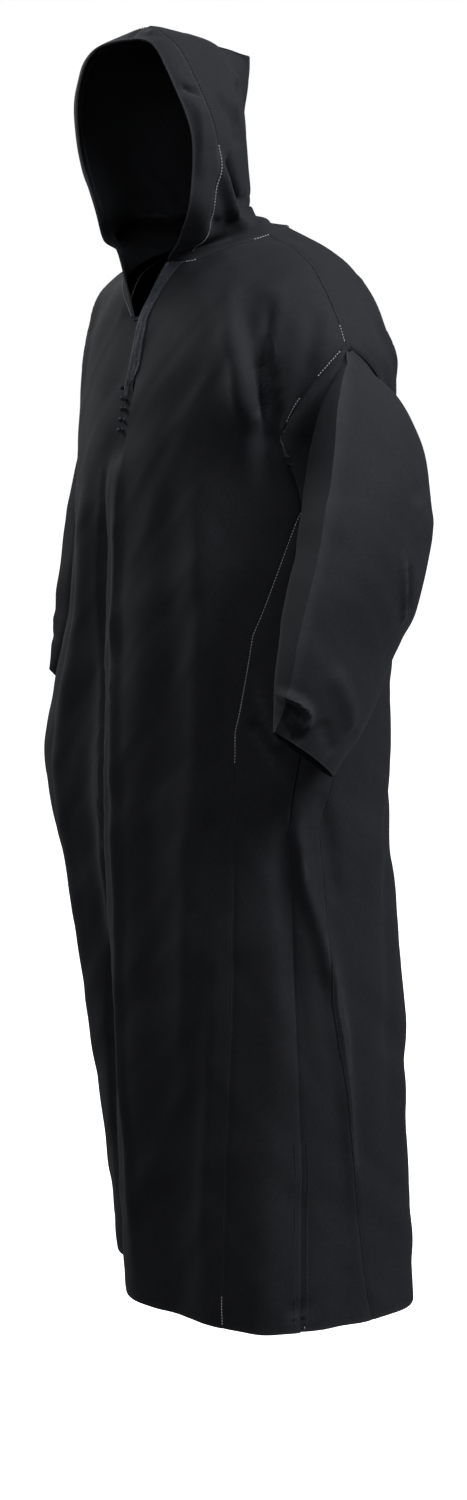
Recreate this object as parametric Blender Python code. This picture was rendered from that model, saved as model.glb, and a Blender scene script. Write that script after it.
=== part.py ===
"""Hooded djellaba robe, hollow and in the pose in which it is worn, with the hands in the side pockets.

Metres, +Z up. The front faces -Y and the wearer's left side is +X. The origin is at the middle of the
neck, at shoulder height, where the wearer holds the robe up. Heights in the tables are above the ground.
"""

import math
from typing import NamedTuple

import bmesh
import bpy
import numpy as np

# Driving dimensions
CLOTH = 0.002
SEAM_GAP = 0.0003
ORIGIN_HEIGHT = 1.500
BRAID_THICKNESS = 0.0015
BRAID_NARROW = 0.007
BRAID_WIDE = 0.024
BRAID_WIDENS_OVER_ROWS = 0.5
BRAID_TOP_CUT = 0.3
BRAID_TOP_ROWS = 0.4
BRAID_START_ROW = 7.85
BRAID_ROWS = 14
BRAID_LIFT = 0.0005
KNOT_RADIUS = 0.0030
KNOT_SPACING = 0.0125
KNOT_COUNT = 5
KNOT_TOP_HEIGHT = 1.362
KNOT_ANGLE = -4.0
OPENING_END_HEIGHT = 1.262
OPENING_OVERLAP = 0.010
OPENING_TUCK = 0.0045
TUCK_DEGREES = 16.0
TUCK_RISE = 0.04
TUCK_ENDS_BELOW_NECK = 0.9
POCKET_HEIGHTS = (0.855, 0.975)
POCKET_MOUTH = 0.011
SLIT_TOP_HEIGHT = 0.500
SLIT_SPREAD = 0.003
ARMHOLE_TURN = 1.8
SLEEVE_CLEARANCE = 0.006
SLEEVE_CLEARANCE_RISE = 2.5
SLEEVE_ROUNDNESS = 0.9
SHOULDER_STEP = 0.010
UNDERARM_STEP = 0.018
UNDERARM_SHARPNESS = 4
ARMPIT_MARGIN = 0.12

# Steps for measuring directions on the body, and how near to the opening's line a sheet ends
ANGLE_STEP = 0.05
ROW_STEP = 0.002
EDGE_ANGLE = 1e-4

# Angles round the body from its front: the shoulder line, and where heights at the side are measured
SHOULDER_ANGLE = 90.0
SIDE_ANGLE = 70.0
NECK_CENTRE = (0.0, -0.03)

# How finely the sheets are divided
ROWS_BELOW_ARM = 23
ROWS_AT_ARMHOLE = 8
ROWS_AT_SHOULDER = 6
HALF_PANEL_COLUMNS = 12
GORE_COLUMNS = 4
SLEEVE_RINGS = 20
HOOD_COLUMNS = 26


class Section(NamedTuple):
    """One ring of the body: heights at its front, sides and back, half sizes, centre and turn in degrees."""
    front: float
    side: float
    back: float
    half_width: float
    front_depth: float
    back_depth: float
    centre_x: float
    centre_y: float
    turn: float
    power: float


HEM, KNEE, THIGH, POCKET, HIP, WAIST, ARMPIT, CHEST, TIP, YOKE, NECK = range(11)
SECTIONS = [
    Section(0.240, 0.258, 0.264, 0.270, 0.190, 0.178, 0.050, 0.018, 20.0, 2.1),
    Section(0.440, 0.445, 0.445, 0.272, 0.186, 0.172, 0.026, 0.012, 14.0, 2.1),
    Section(0.650, 0.650, 0.650, 0.284, 0.182, 0.150, 0.002, 0.006, 8.0, 2.2),
    Section(0.850, 0.850, 0.850, 0.306, 0.180, 0.120, -0.034, 0.000, 2.0, 2.3),
    Section(0.970, 0.965, 0.970, 0.286, 0.176, 0.110, -0.026, 0.000, 0.0, 2.5),
    Section(1.085, 1.080, 1.085, 0.254, 0.172, 0.122, -0.004, 0.000, 0.0, 2.6),
    Section(1.205, 1.230, 1.225, 0.246, 0.166, 0.126, -0.004, 0.000, 0.0, 2.5),
    Section(1.290, 1.310, 1.300, 0.248, 0.156, 0.138, 0.000, -0.004, 0.0, 2.4),
    Section(1.365, 1.412, 1.395, 0.252, 0.129, 0.172, 0.014, -0.022, 0.0, 2.1),
    Section(1.438, 1.502, 1.495, 0.196, 0.118, 0.142, 0.000, -0.020, 0.0, 2.1),
]


class NeckPoint(NamedTuple):
    """A point of the neck seam, by its angle from the front round to the wearer's left."""
    angle: float
    x: float
    y: float
    height: float


NECK_SEAM = [
    NeckPoint(0, 0.022, -0.110, 1.512),
    NeckPoint(30, 0.055, -0.098, 1.512),
    NeckPoint(60, 0.084, -0.066, 1.527),
    NeckPoint(90, 0.100, -0.018, 1.545),
    NeckPoint(135, 0.072, 0.028, 1.555),
    NeckPoint(180, 0.000, 0.048, 1.558),
    NeckPoint(225, -0.072, 0.028, 1.553),
    NeckPoint(270, -0.100, -0.022, 1.535),
    NeckPoint(300, -0.086, -0.080, 1.515),
    NeckPoint(330, -0.055, -0.125, 1.490),
    NeckPoint(360, -0.010, -0.138, 1.442),
]


class Seams(NamedTuple):
    """Where the cut lines lie on each ring: degrees from the ring's front."""
    opening: float
    front: float
    side: float
    back: float


SEAMS = [
    Seams(10, 55, 83, 111),
    Seams(8, 53, 80, 99),
    Seams(6, 51, 73, 86),
    Seams(3, 47, 65, 77),
    Seams(1, 46, 70, 86),
    Seams(0, 53, 80, 102),
    Seams(0, 73, 92, 114),
    Seams(0, 63, 90, 122),
    Seams(-5, 89.9, 90, 90.1),
    Seams(0, 89.9, 90, 90.1),
    Seams(0, 89.9, 90, 90.1),
]


class Fold(NamedTuple):
    """A long soft fold of the body: a ridge where the depth is positive, a trough where it is negative."""
    top: float
    bottom: float
    angle_top: float
    angle_bottom: float
    width: float
    depth: float


FOLDS = [
    Fold(1.510, 1.215, 34, 55, 6, 0.013),
    Fold(1.495, 1.215, 50, 60, 5, -0.015),
    Fold(1.480, 1.225, -44, -56, 6, -0.012),
    Fold(1.300, 0.150, -8, -7, 7, -0.022),
    Fold(1.200, 0.150, 8, 14, 9, 0.010),
    Fold(0.900, 0.150, 33, 36, 10, -0.010),
    Fold(0.800, 0.150, 66, 70, 8, 0.008),
    Fold(0.780, 0.150, 96, 98, 8, -0.008),
    Fold(0.860, 0.150, 126, 130, 10, 0.012),
    Fold(0.950, 0.150, 150, 152, 9, -0.012),
    Fold(1.050, 0.150, 176, 178, 10, 0.010),
    Fold(0.950, 0.150, -34, -38, 10, 0.010),
    Fold(0.880, 0.150, -62, -66, 9, -0.010),
    Fold(0.820, 0.150, -95, -98, 9, 0.010),
    Fold(0.860, 0.150, -124, -128, 10, -0.012),
    Fold(0.950, 0.150, -150, -153, 9, 0.011),
]

FOLD_FADE = 0.16


class SleeveRing(NamedTuple):
    """A ring of a sleeve: its crease, the underarm point across from it, and the swell of each face."""
    crease: tuple
    underarm: tuple
    outer_swell: float
    inner_swell: float
    inner_at: float


LEFT_SLEEVE = [
    SleeveRing((0.290, -0.045, 1.370), (0.254, 0.076, 1.242), 0.050, 0.044, 0.26),
    SleeveRing((0.320, -0.078, 1.282), (0.258, 0.092, 1.192), 0.048, 0.054, 0.22),
    SleeveRing((0.340, -0.110, 1.190), (0.264, 0.074, 1.120), 0.042, 0.050, 0.22),
    SleeveRing((0.344, -0.135, 1.109), (0.270, 0.036, 1.050), 0.032, 0.044, 0.22),
    SleeveRing((0.338, -0.147, 1.040), (0.285, -0.012, 0.980), 0.030, 0.038, 0.24),
    SleeveRing((0.312, -0.148, 0.985), (0.300, -0.066, 0.926), 0.024, 0.022, 0.40),
]
RIGHT_SLEEVE = [
    SleeveRing((-0.272, -0.030, 1.370), (-0.260, 0.084, 1.242), 0.046, 0.040, 0.32),
    SleeveRing((-0.300, -0.050, 1.282), (-0.268, 0.098, 1.192), 0.052, 0.052, 0.28),
    SleeveRing((-0.316, -0.066, 1.190), (-0.276, 0.090, 1.120), 0.054, 0.054, 0.26),
    SleeveRing((-0.318, -0.076, 1.109), (-0.284, 0.066, 1.050), 0.048, 0.050, 0.26),
    SleeveRing((-0.316, -0.084, 1.040), (-0.292, 0.030, 0.980), 0.036, 0.040, 0.28),
    SleeveRing((-0.312, -0.094, 0.985), (-0.310, -0.022, 0.926), 0.024, 0.020, 0.40),
]


# The hood is measured from the middle of the head: forward, towards the wearer's left, and the height.
HOOD_X = 0.000
HOOD_Y = -0.090
HOOD_TURN = math.radians(22.0)
HOOD_LIP_BACK = 0.026
HOOD_LIP_OUT = 0.016
HOOD_LIP_TURNS_WITHIN = 0.05
HOOD_QUARTER_OUT = 0.50
HOOD_ACROSS = (0.0, 0.14, 0.5, 0.78, 1.0)


class HoodRow(NamedTuple):
    """A line across one half of the hood, from the face edge over the side to the back seam."""
    along: float
    edge_forward: float
    edge_left: float
    edge_right: float
    edge_height: float
    side_forward: float
    side_out: float
    side_height: float
    back_forward: float
    back_height: float


HOOD_ROWS = [
    HoodRow(0.00, 0.074, 0.000, 0.000, 1.766, -0.030, 0.000, 1.782, -0.162, 1.768),
    HoodRow(0.18, 0.084, 0.034, 0.050, 1.757, -0.030, 0.044, 1.764, -0.160, 1.740),
    HoodRow(0.38, 0.088, 0.066, 0.072, 1.712, -0.030, 0.078, 1.708, -0.150, 1.690),
    HoodRow(0.58, 0.080, 0.088, 0.076, 1.650, -0.030, 0.086, 1.645, -0.156, 1.636),
    HoodRow(0.75, 0.080, 0.084, 0.054, 1.575, -0.036, 0.082, 1.590, -0.160, 1.600),
    HoodRow(0.86, 0.064, 0.058, 0.056, 1.540, -0.030, 0.086, 1.566, -0.138, 1.583),
    HoodRow(0.94, 0.048, 0.034, 0.046, 1.522, -0.040, 0.106, 1.550, -0.162, 1.572),
]


def spline(rows, at):
    """Points on the smooth curve through the rows, at the given row numbers; rows run along axis 0."""
    rows = np.asarray(rows, dtype=float)
    at = np.asarray(at, dtype=float)
    last = len(rows) - 1
    low = np.clip(np.floor(at).astype(int), 0, last - 1)
    part = (at - low).reshape(at.shape + (1,) * (rows.ndim - 1))
    p0 = rows[np.maximum(low - 1, 0)]
    p1 = rows[low]
    p2 = rows[low + 1]
    p3 = rows[np.minimum(low + 2, last)]
    return p1 + 0.5 * part * (p2 - p0 + part * (2 * p0 - 5 * p1 + 4 * p2 - p3 + part * (3 * (p1 - p2) + p3 - p0)))


def smooth(value):
    """0 to 1 with a soft start and end."""
    value = np.clip(value, 0.0, 1.0)
    return value * value * (3.0 - 2.0 * value)


def section_point(section, angle):
    """A point of one body ring before the folds."""
    turn = math.radians(section.turn)
    sine = np.sin(np.radians(angle))
    cosine = np.cos(np.radians(angle))
    share = 0.5 + 0.5 * cosine
    depth = section.back_depth + (section.front_depth - section.back_depth) * share
    out = section.half_width * np.sign(sine) * np.abs(sine) ** (2.0 / section.power)
    ahead = depth * np.sign(cosine) * np.abs(cosine) ** (2.0 / section.power)
    x = section.centre_x + out * math.cos(turn) - ahead * math.sin(turn)
    y = section.centre_y - out * math.sin(turn) - ahead * math.cos(turn)
    end = np.where(cosine > 0, section.front, section.back)
    height = section.side + (end - section.side) * cosine ** 2
    return np.stack([x, y, height], axis=-1)


def neck_point(angle):
    """A point of the neck seam; angles below 0 are on the wearer's right."""
    turned = np.where(angle < 0, angle + 360.0, angle)
    table = np.array(NECK_SEAM)
    position = np.interp(turned, table[:, 0], np.arange(len(table)))
    return spline(table[:, 1:], position)


def fold_lift(angle, height):
    """How far the folds move the cloth out."""
    lift = np.zeros_like(height)
    for fold in FOLDS:
        share = (fold.top - height) / (fold.top - fold.bottom)
        middle = fold.angle_top + (fold.angle_bottom - fold.angle_top) * np.clip(share, 0, 1)
        away = (angle - middle + 180.0) % 360.0 - 180.0
        fade = smooth((fold.top - height) / FOLD_FADE)
        if fold.bottom > SECTIONS[HEM].side:
            fade = fade * smooth((height - fold.bottom) / FOLD_FADE)
        else:
            fade = fade * (0.45 + 0.55 * smooth(share))
        lift = lift + fold.depth * np.exp(-((away / fold.width) ** 2)) * fade
    return lift


def body_point(angle, row):
    """The outer face of the robe's body at an angle round it and a row number between HEM and NECK."""
    angle = np.asarray(angle, dtype=float)
    row = np.broadcast_to(np.asarray(row, dtype=float), angle.shape)
    rings = [section_point(section, angle) for section in SECTIONS] + [neck_point(angle)]
    rings = np.stack(rings)
    last = len(rings) - 1
    low = np.clip(np.floor(row).astype(int), 0, last - 1)
    part = (row - low)[..., None]

    def pick(index):
        index = np.clip(index, 0, last)
        return np.take_along_axis(rings, index[None, ..., None].repeat(3, -1), axis=0)[0]

    p0 = pick(low - 1)
    p1 = pick(low)
    p2 = pick(low + 1)
    p3 = pick(low + 2)
    point = p1 + 0.5 * part * (p2 - p0 + part * (2 * p0 - 5 * p1 + 4 * p2 - p3 + part * (3 * (p1 - p2) + p3 - p0)))
    centre = spline([(s.centre_x, s.centre_y) for s in SECTIONS] + [NECK_CENTRE], row)
    out = point[..., :2] - centre
    out = out / np.linalg.norm(out, axis=-1, keepdims=True)
    point[..., :2] += out * fold_lift(angle, point[..., 2])[..., None]
    return point


def body_frame(angle, row):
    """The point, the outward normal, and the steps along the angle (per degree) and along the row."""
    point = body_point(angle, row)
    # The two sides of the opening are apart at the neck, so the steps stay on their own side of it.
    before = np.where(angle > 0, np.maximum(angle - ANGLE_STEP, EDGE_ANGLE), angle - ANGLE_STEP)
    after = np.where(angle < 0, np.minimum(angle + ANGLE_STEP, -EDGE_ANGLE), angle + ANGLE_STEP)
    along = (body_point(after, row) - body_point(before, row)) / (after - before)[..., None]
    high = np.minimum(row + ROW_STEP, NECK)
    low = np.maximum(row - ROW_STEP, HEM)
    up = (body_point(angle, high) - body_point(angle, low)) / (high - low)[..., None]
    normal = np.cross(along, up)
    normal = normal / np.linalg.norm(normal, axis=-1, keepdims=True)
    return point, normal, along, up


def seam_angle(name, row):
    """The angle of a cut line at a row number."""
    column = [getattr(seams, name) for seams in SEAMS]
    row = np.asarray(row, dtype=float)
    # The armhole runs level from the shoulder point at first and then turns down.
    share = np.clip(row - CHEST, 0.0, 1.0)
    bent = np.where((row > CHEST) & (row < TIP), CHEST + share ** ARMHOLE_TURN, row)
    return np.interp(bent, np.arange(len(column)), column)


def side_row_heights(rows):
    """Heights of the body at the side, for given row numbers."""
    return body_point(np.full(len(rows), SIDE_ANGLE), rows)[:, 2]


def body_rows(first, last):
    """Row numbers of the body's mesh between two rings."""
    below = np.linspace(HEM, ARMPIT, ROWS_BELOW_ARM + 1)
    arm = np.linspace(ARMPIT, TIP, ROWS_AT_ARMHOLE + 1)[1:]
    above = np.linspace(TIP, NECK, ROWS_AT_SHOULDER + 1)[1:]
    rows = np.concatenate([below, arm, above])
    return rows[(rows >= first - 1e-9) & (rows <= last + 1e-9)]


def place(points):
    """From heights above the ground to the part's own frame."""
    moved = np.array(points, dtype=float)
    moved[..., 2] -= ORIGIN_HEIGHT
    return moved


def wall(outer, inner, closed=False):
    """A closed wall between two grids of points: faces of both sides and of the rim."""
    rows, columns = outer.shape[:2]
    count = rows * columns
    points = np.concatenate([outer.reshape(-1, 3), inner.reshape(-1, 3)])
    faces = []
    spans = columns if closed else columns - 1

    def number(row, column, side):
        return side * count + row * columns + column % columns

    for row in range(rows - 1):
        for column in range(spans):
            ring = [(row, column), (row, column + 1), (row + 1, column + 1), (row + 1, column)]
            corners = [outer[r, c % columns] for r, c in ring]
            # Both sides of the wall are split along the shorter diagonal of the outer side.
            if np.linalg.norm(corners[1] - corners[3]) < np.linalg.norm(corners[0] - corners[2]):
                ring = ring[1:] + ring[:1]
            for three in (ring[:3], [ring[0], ring[2], ring[3]]):
                faces.append([number(r, c, 0) for r, c in three])
                faces.append([number(r, c, 1) for r, c in reversed(three)])
    for column in range(spans):
        for row, turned in ((0, True), (rows - 1, False)):
            rim = [number(row, column, 0), number(row, column + 1, 0),
                   number(row, column + 1, 1), number(row, column, 1)]
            faces.append(rim[::-1] if turned else rim)
    if not closed:
        for row in range(rows - 1):
            for column, turned in ((0, False), (columns - 1, True)):
                rim = [number(row, column, 0), number(row + 1, column, 0),
                       number(row + 1, column, 1), number(row, column, 1)]
                faces.append(rim[::-1] if turned else rim)
    return points, faces


def make_material(name, colour, roughness):
    """A plain cloth material."""
    material = bpy.data.materials.new(name)
    material.use_nodes = True
    shader = material.node_tree.nodes["Principled BSDF"]
    shader.inputs["Base Color"].default_value = (*colour, 1.0)
    shader.inputs["Roughness"].default_value = roughness
    shader.inputs["Metallic"].default_value = 0.0
    return material


def add_object(name, points, faces, material, collection):
    """A mesh object with its faces pointing out."""
    mesh = bpy.data.meshes.new(name)
    mesh.from_pydata([tuple(p) for p in place(points)], [], faces)
    shape = bmesh.new()
    shape.from_mesh(mesh)
    bmesh.ops.recalc_face_normals(shape, faces=shape.faces)
    shape.to_mesh(mesh)
    shape.free()
    mesh.shade_smooth()
    mesh.materials.append(material)
    piece = bpy.data.objects.new(name, mesh)
    collection.objects.link(piece)
    return piece


def seam_gap_at(angle, row):
    """Half the gap in degrees at a cut line."""
    along = body_frame(angle, row)[2]
    return 0.5 * SEAM_GAP / np.linalg.norm(along, axis=-1)


def side_opening(row):
    """Extra half gap in metres where the side seam is open: the pocket mouth and the slit at the hem."""
    height = side_row_heights(row)
    low, high = POCKET_HEIGHTS
    middle = (height - low) / (high - low)
    mouth = 0.5 * POCKET_MOUTH * np.where((middle > 0) & (middle < 1), np.sin(np.pi * np.clip(middle, 0, 1)), 0)
    slit = 0.5 * SLIT_SPREAD * smooth((SLIT_TOP_HEIGHT - height) / (SLIT_TOP_HEIGHT - SECTIONS[HEM].side))
    return mouth + slit


def strip(left, right, columns):
    """Angles of a sheet between two edges, given as angles for each row."""
    share = np.linspace(0.0, 1.0, columns + 1)
    return left[:, None] + (right - left)[:, None] * share[None, :]


def sheet_wall(angles, rows):
    """Outer and inner points of a sheet of the body."""
    grid_rows = np.repeat(rows[:, None], angles.shape[1], axis=1)
    point, normal, _, _ = body_frame(angles, grid_rows)
    return point, point - normal * CLOTH


def opening_tuck(angle, row):
    """How far the right side of the chest opening is moved to lie behind the left side."""
    middle = seam_angle("opening", row)
    height = body_point(angle, row)[..., 2]
    near = smooth(1.0 - (middle - angle) / TUCK_DEGREES)
    opened = smooth((height - OPENING_END_HEIGHT) / TUCK_RISE)
    # The tuck fades out at the neck, where the two corners hang apart.
    held = smooth((NECK - row) / TUCK_ENDS_BELOW_NECK)
    amount = (near * opened * held)[..., None]
    return amount * np.array([OPENING_OVERLAP, OPENING_TUCK, 0.0])


def front_panel(material, collection):
    """The front, with the chest opening between its left and right edges."""
    rows = body_rows(HEM, NECK)
    edge = seam_angle("front", rows)
    gap = seam_gap_at(edge, rows)
    middle = seam_angle("opening", rows)
    left = strip(middle, edge - gap, HALF_PANEL_COLUMNS)
    right = strip(-edge + gap, middle, HALF_PANEL_COLUMNS)
    height = body_point(middle + 2 * EDGE_ANGLE, rows)[:, 2]
    left_outer, left_inner = sheet_wall(np.maximum(left, middle[:, None] + 2 * EDGE_ANGLE), rows)
    right = np.minimum(right, middle[:, None] - 2 * EDGE_ANGLE)
    right_outer, right_inner = sheet_wall(right, rows)
    shift = opening_tuck(right, np.repeat(rows[:, None], right.shape[1], axis=1))
    right_outer += shift
    right_inner += shift
    joined = rows_closed(height)
    points, faces = slit_wall(right_outer, right_inner, left_outer, left_inner, joined)
    return add_object("front_panel", points, faces, material, collection)


def rows_closed(height):
    """Number of mesh rows, from the hem up, in which the front is whole."""
    return int(np.sum(height < OPENING_END_HEIGHT))


def slit_wall(right_outer, right_inner, left_outer, left_inner, joined):
    """Two walls side by side that share their middle column below the opening's end."""
    right_points, right_faces = wall(right_outer, right_inner)
    left_points, left_faces = wall(left_outer, left_inner)
    rows, columns = right_outer.shape[:2]
    offset = len(right_points)
    count = rows * columns
    points = np.concatenate([right_points, left_points])
    same = {}
    for row in range(joined):
        for side in (0, 1):
            kept = side * count + row * columns + columns - 1
            moved = offset + side * count + row * columns
            same[moved] = kept
            points[kept] = 0.5 * (points[kept] + points[moved])
    faces = []
    for face in right_faces + [[offset + n for n in face] for face in left_faces]:
        face = [same.get(n, n) for n in face]
        shared = {kept for kept in same.values()}
        if all(n in shared for n in face):
            continue
        faces.append(face)
    used = sorted({n for face in faces for n in face})
    renumber = {old: new for new, old in enumerate(used)}
    return points[used], [[renumber[n] for n in face] for face in faces]


def back_panel(material, collection):
    """The back, from one seam round to the other."""
    rows = body_rows(HEM, NECK)
    edge = seam_angle("back", rows)
    gap = seam_gap_at(edge, rows)
    angles = strip(edge + gap, 360.0 - edge - gap, 2 * HALF_PANEL_COLUMNS)
    outer, inner = sheet_wall(wrap(angles), rows)
    points, faces = wall(outer, inner)
    return add_object("back_panel", points, faces, material, collection)


def wrap(angles):
    """Angles from -180 to 180."""
    return (angles + 180.0) % 360.0 - 180.0


def gore(name, side, front_half, material, collection):
    """One gore; side is 1 on the wearer's left and -1 on the right."""
    rows = body_rows(HEM, ARMPIT)
    seam = seam_angle("side", rows)
    opened = side_opening(rows)
    speed = np.linalg.norm(body_frame(side * seam, rows)[2], axis=-1)
    open_gap = (0.5 * SEAM_GAP + opened) / speed
    other = seam_angle("front" if front_half else "back", rows)
    gap = seam_gap_at(side * other, rows)
    if front_half:
        angles = strip(other + gap, seam - open_gap, GORE_COLUMNS)
    else:
        angles = strip(seam + open_gap, other - gap, GORE_COLUMNS)
    outer, inner = sheet_wall(side * angles, rows)
    points, faces = wall(outer, inner)
    return add_object(name, points, faces, material, collection)


def armhole(side):
    """The loop of the armhole: points, body normals and the direction away from the body's cloth."""
    rows = body_rows(ARMPIT, TIP)[::-1]
    front = seam_angle("front", rows)
    back = seam_angle("back", rows)
    front[0] = SHOULDER_ANGLE
    gore_f = np.linspace(front[-1], seam_angle("side", ARMPIT), GORE_COLUMNS + 1)[1:]
    gore_b = np.linspace(seam_angle("side", ARMPIT), back[-1], GORE_COLUMNS + 1)[1:-1]
    angles = np.concatenate([front, gore_f, gore_b, back[1:][::-1]])
    levels = np.concatenate([rows, np.full(len(gore_f) + len(gore_b), float(ARMPIT)), rows[1:][::-1]])
    point, normal, along, up = body_frame(side * angles, levels)
    along = side * along / np.linalg.norm(along, axis=-1, keepdims=True)
    up = up / np.linalg.norm(up, axis=-1, keepdims=True)
    away = np.zeros_like(point)
    edge = len(rows)
    top = len(gore_f) + len(gore_b)
    away[1:edge] = along[1:edge]
    away[edge:edge + top] = up[edge:edge + top]
    away[edge + top:] = -along[edge + top:]
    away[edge - 1] += up[edge - 1]
    away[edge + top] += up[edge + top]
    away[0] = -up[0]
    away = away / np.linalg.norm(away, axis=-1, keepdims=True)
    return point, normal, away


def ring_point(ring, share, outer, axis):
    """A point on one face of a sleeve ring; share runs from the crease to the underarm point."""
    crease = np.array(ring.crease)
    underarm = np.array(ring.underarm)
    chord = underarm - crease
    out = np.cross(axis, chord)
    out = out / np.linalg.norm(out)
    turn = math.pi * share
    along = share * (1.0 - share) + (0.5 - 0.5 * np.cos(turn)) * share
    if outer:
        swell = ring.outer_swell * np.sin(turn) ** SLEEVE_ROUNDNESS
    else:
        skew = share ** (math.log(0.5) / math.log(ring.inner_at))
        swell = -ring.inner_swell * np.sin(math.pi * skew)
    return crease + along[:, None] * chord + swell[:, None] * out


def clear_of_body(points, clearance):
    """Points moved out from the body's walls until they are clear of them by the given distance."""
    angles = np.linspace(-180.0, 180.0, 241)
    levels = np.linspace(HEM, YOKE, 181)
    grid = body_point(*np.meshgrid(angles, levels))
    row_of = np.stack([np.interp(points[:, 2], grid[:, n, 2], levels) for n in range(len(angles))], axis=1)
    x = np.stack([np.interp(points[:, 2], grid[:, n, 2], grid[:, n, 0]) for n in range(len(angles))], axis=1)
    y = np.stack([np.interp(points[:, 2], grid[:, n, 2], grid[:, n, 1]) for n in range(len(angles))], axis=1)
    moved = points.copy()
    for number, point in enumerate(points):
        centre = np.array([x[number, :-1].mean(), y[number, :-1].mean()])
        turn = np.degrees(np.arctan2(x[number] - centre[0], -(y[number] - centre[1])))
        order = np.argsort(turn)
        reach = np.hypot(x[number] - centre[0], y[number] - centre[1])[order]
        out = point[:2] - centre
        own_turn = math.degrees(math.atan2(out[0], -out[1]))
        own_reach = math.hypot(*out)
        wall_reach = np.interp(own_turn, turn[order], reach, period=360.0)
        angle = abs(np.interp(own_turn, turn[order], angles[order], period=360.0))
        row = np.interp(own_turn, turn[order], row_of[number][order], period=360.0)
        in_armhole = row > ARMPIT + ARMPIT_MARGIN and seam_angle("front", row) < angle < seam_angle("back", row)
        need = wall_reach + clearance[number]
        if own_reach < need and not in_armhole:
            moved[number, :2] = centre + out / own_reach * need
    return moved


def loop_shares(loop, half):
    """Share of the way from the tip to the underarm point, for each point of the armhole loop."""
    steps = np.linalg.norm(np.diff(np.concatenate([loop, loop[:1]]), axis=0), axis=1)
    run = np.concatenate([[0.0], np.cumsum(steps)])
    first = run[:half + 1] / run[half]
    second = (run[-1] - run[half:-1]) / (run[-1] - run[half])
    return first, second


def sleeve(name, side, rings, material, collection):
    """A sleeve from the armhole to the cuff."""
    loop, body_normal, away = armhole(side)
    half = len(body_rows(ARMPIT, TIP)) - 1 + GORE_COLUMNS
    first, second = loop_shares(loop, half)
    low = np.sin(0.5 * np.pi * np.concatenate([first, second[1:]]))[:, None] ** UNDERARM_SHARPNESS
    turned_out = loop + away * (SEAM_GAP + SHOULDER_STEP * (1.0 - low)) + body_normal * (UNDERARM_STEP * low)
    stations = [loop + away * SEAM_GAP, turned_out]
    middles = [np.mean(loop, axis=0)] + [(np.array(r.crease) + np.array(r.underarm)) / 2 for r in rings]
    for number, ring in enumerate(rings):
        after = middles[min(number + 2, len(middles) - 1)]
        axis = after - middles[number]
        axis = axis / np.linalg.norm(axis) * side
        inner_face = ring_point(ring, first, False, axis)
        outer_face = ring_point(ring, second, True, axis)
        stations.append(np.concatenate([inner_face, outer_face[1:]]))
    levels = np.linspace(0.0, len(stations) - 1, SLEEVE_RINGS + 1)
    grid = spline(np.stack(stations), levels)
    clearance = SLEEVE_CLEARANCE * np.clip(SLEEVE_CLEARANCE_RISE * levels[1:], 0.0, 1.0)
    free = clear_of_body(grid[1:].reshape(-1, 3), np.repeat(clearance, grid.shape[1]))
    grid[1:] = free.reshape(grid[1:].shape)
    around = np.roll(grid, -1, axis=1) - np.roll(grid, 1, axis=1)
    down = np.gradient(grid, axis=0)
    normal = np.cross(around, down) * side
    normal = normal / np.linalg.norm(normal, axis=-1, keepdims=True)
    normal[0] = body_normal
    share = 0.5 * (1.0 - low)
    mixed = normal[1] * (1.0 - share) + body_normal * share
    normal[1] = mixed / np.linalg.norm(mixed, axis=-1, keepdims=True)
    points, faces = wall(grid, grid - normal * CLOTH, closed=True)
    return add_object(name, points, faces, material, collection)


def hood_place(forward, out, height):
    """From the hood's own axes to the part's X and Y."""
    x = HOOD_X + forward * math.sin(HOOD_TURN) + out * math.cos(HOOD_TURN)
    y = HOOD_Y - forward * math.cos(HOOD_TURN) + out * math.sin(HOOD_TURN)
    return np.stack([x, y, height], axis=-1)


def hood_half(side, neck, neck_up, shares):
    """Lines from the face edge to the back seam for one half, from the top down to the neck seam."""
    lines = []
    for row in HOOD_ROWS:
        out = row.edge_left if side > 0 else row.edge_right
        edge = hood_place(row.edge_forward, side * out, row.edge_height)
        turned = min(1.0, out / HOOD_LIP_TURNS_WITHIN)
        lip_out = side * (out + HOOD_LIP_OUT * turned)
        lip_up = row.edge_height + HOOD_LIP_OUT * (1.0 - turned)
        lip = hood_place(row.edge_forward - HOOD_LIP_BACK, lip_out, lip_up)
        middle = hood_place(row.side_forward, side * row.side_out, row.side_height)
        quarter = hood_place(0.5 * (row.side_forward + row.back_forward), side * HOOD_QUARTER_OUT * row.side_out,
                             0.5 * (row.side_height + row.back_height))
        back = hood_place(row.back_forward, side * 0.5 * SEAM_GAP, row.back_height)
        line = np.stack([edge, lip, middle, quarter, back])
        lines.append(spline(line, np.interp(shares, HOOD_ACROSS, np.arange(len(line)))))
    lines.append(neck + neck_up * SEAM_GAP)
    return np.stack(lines)


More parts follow.
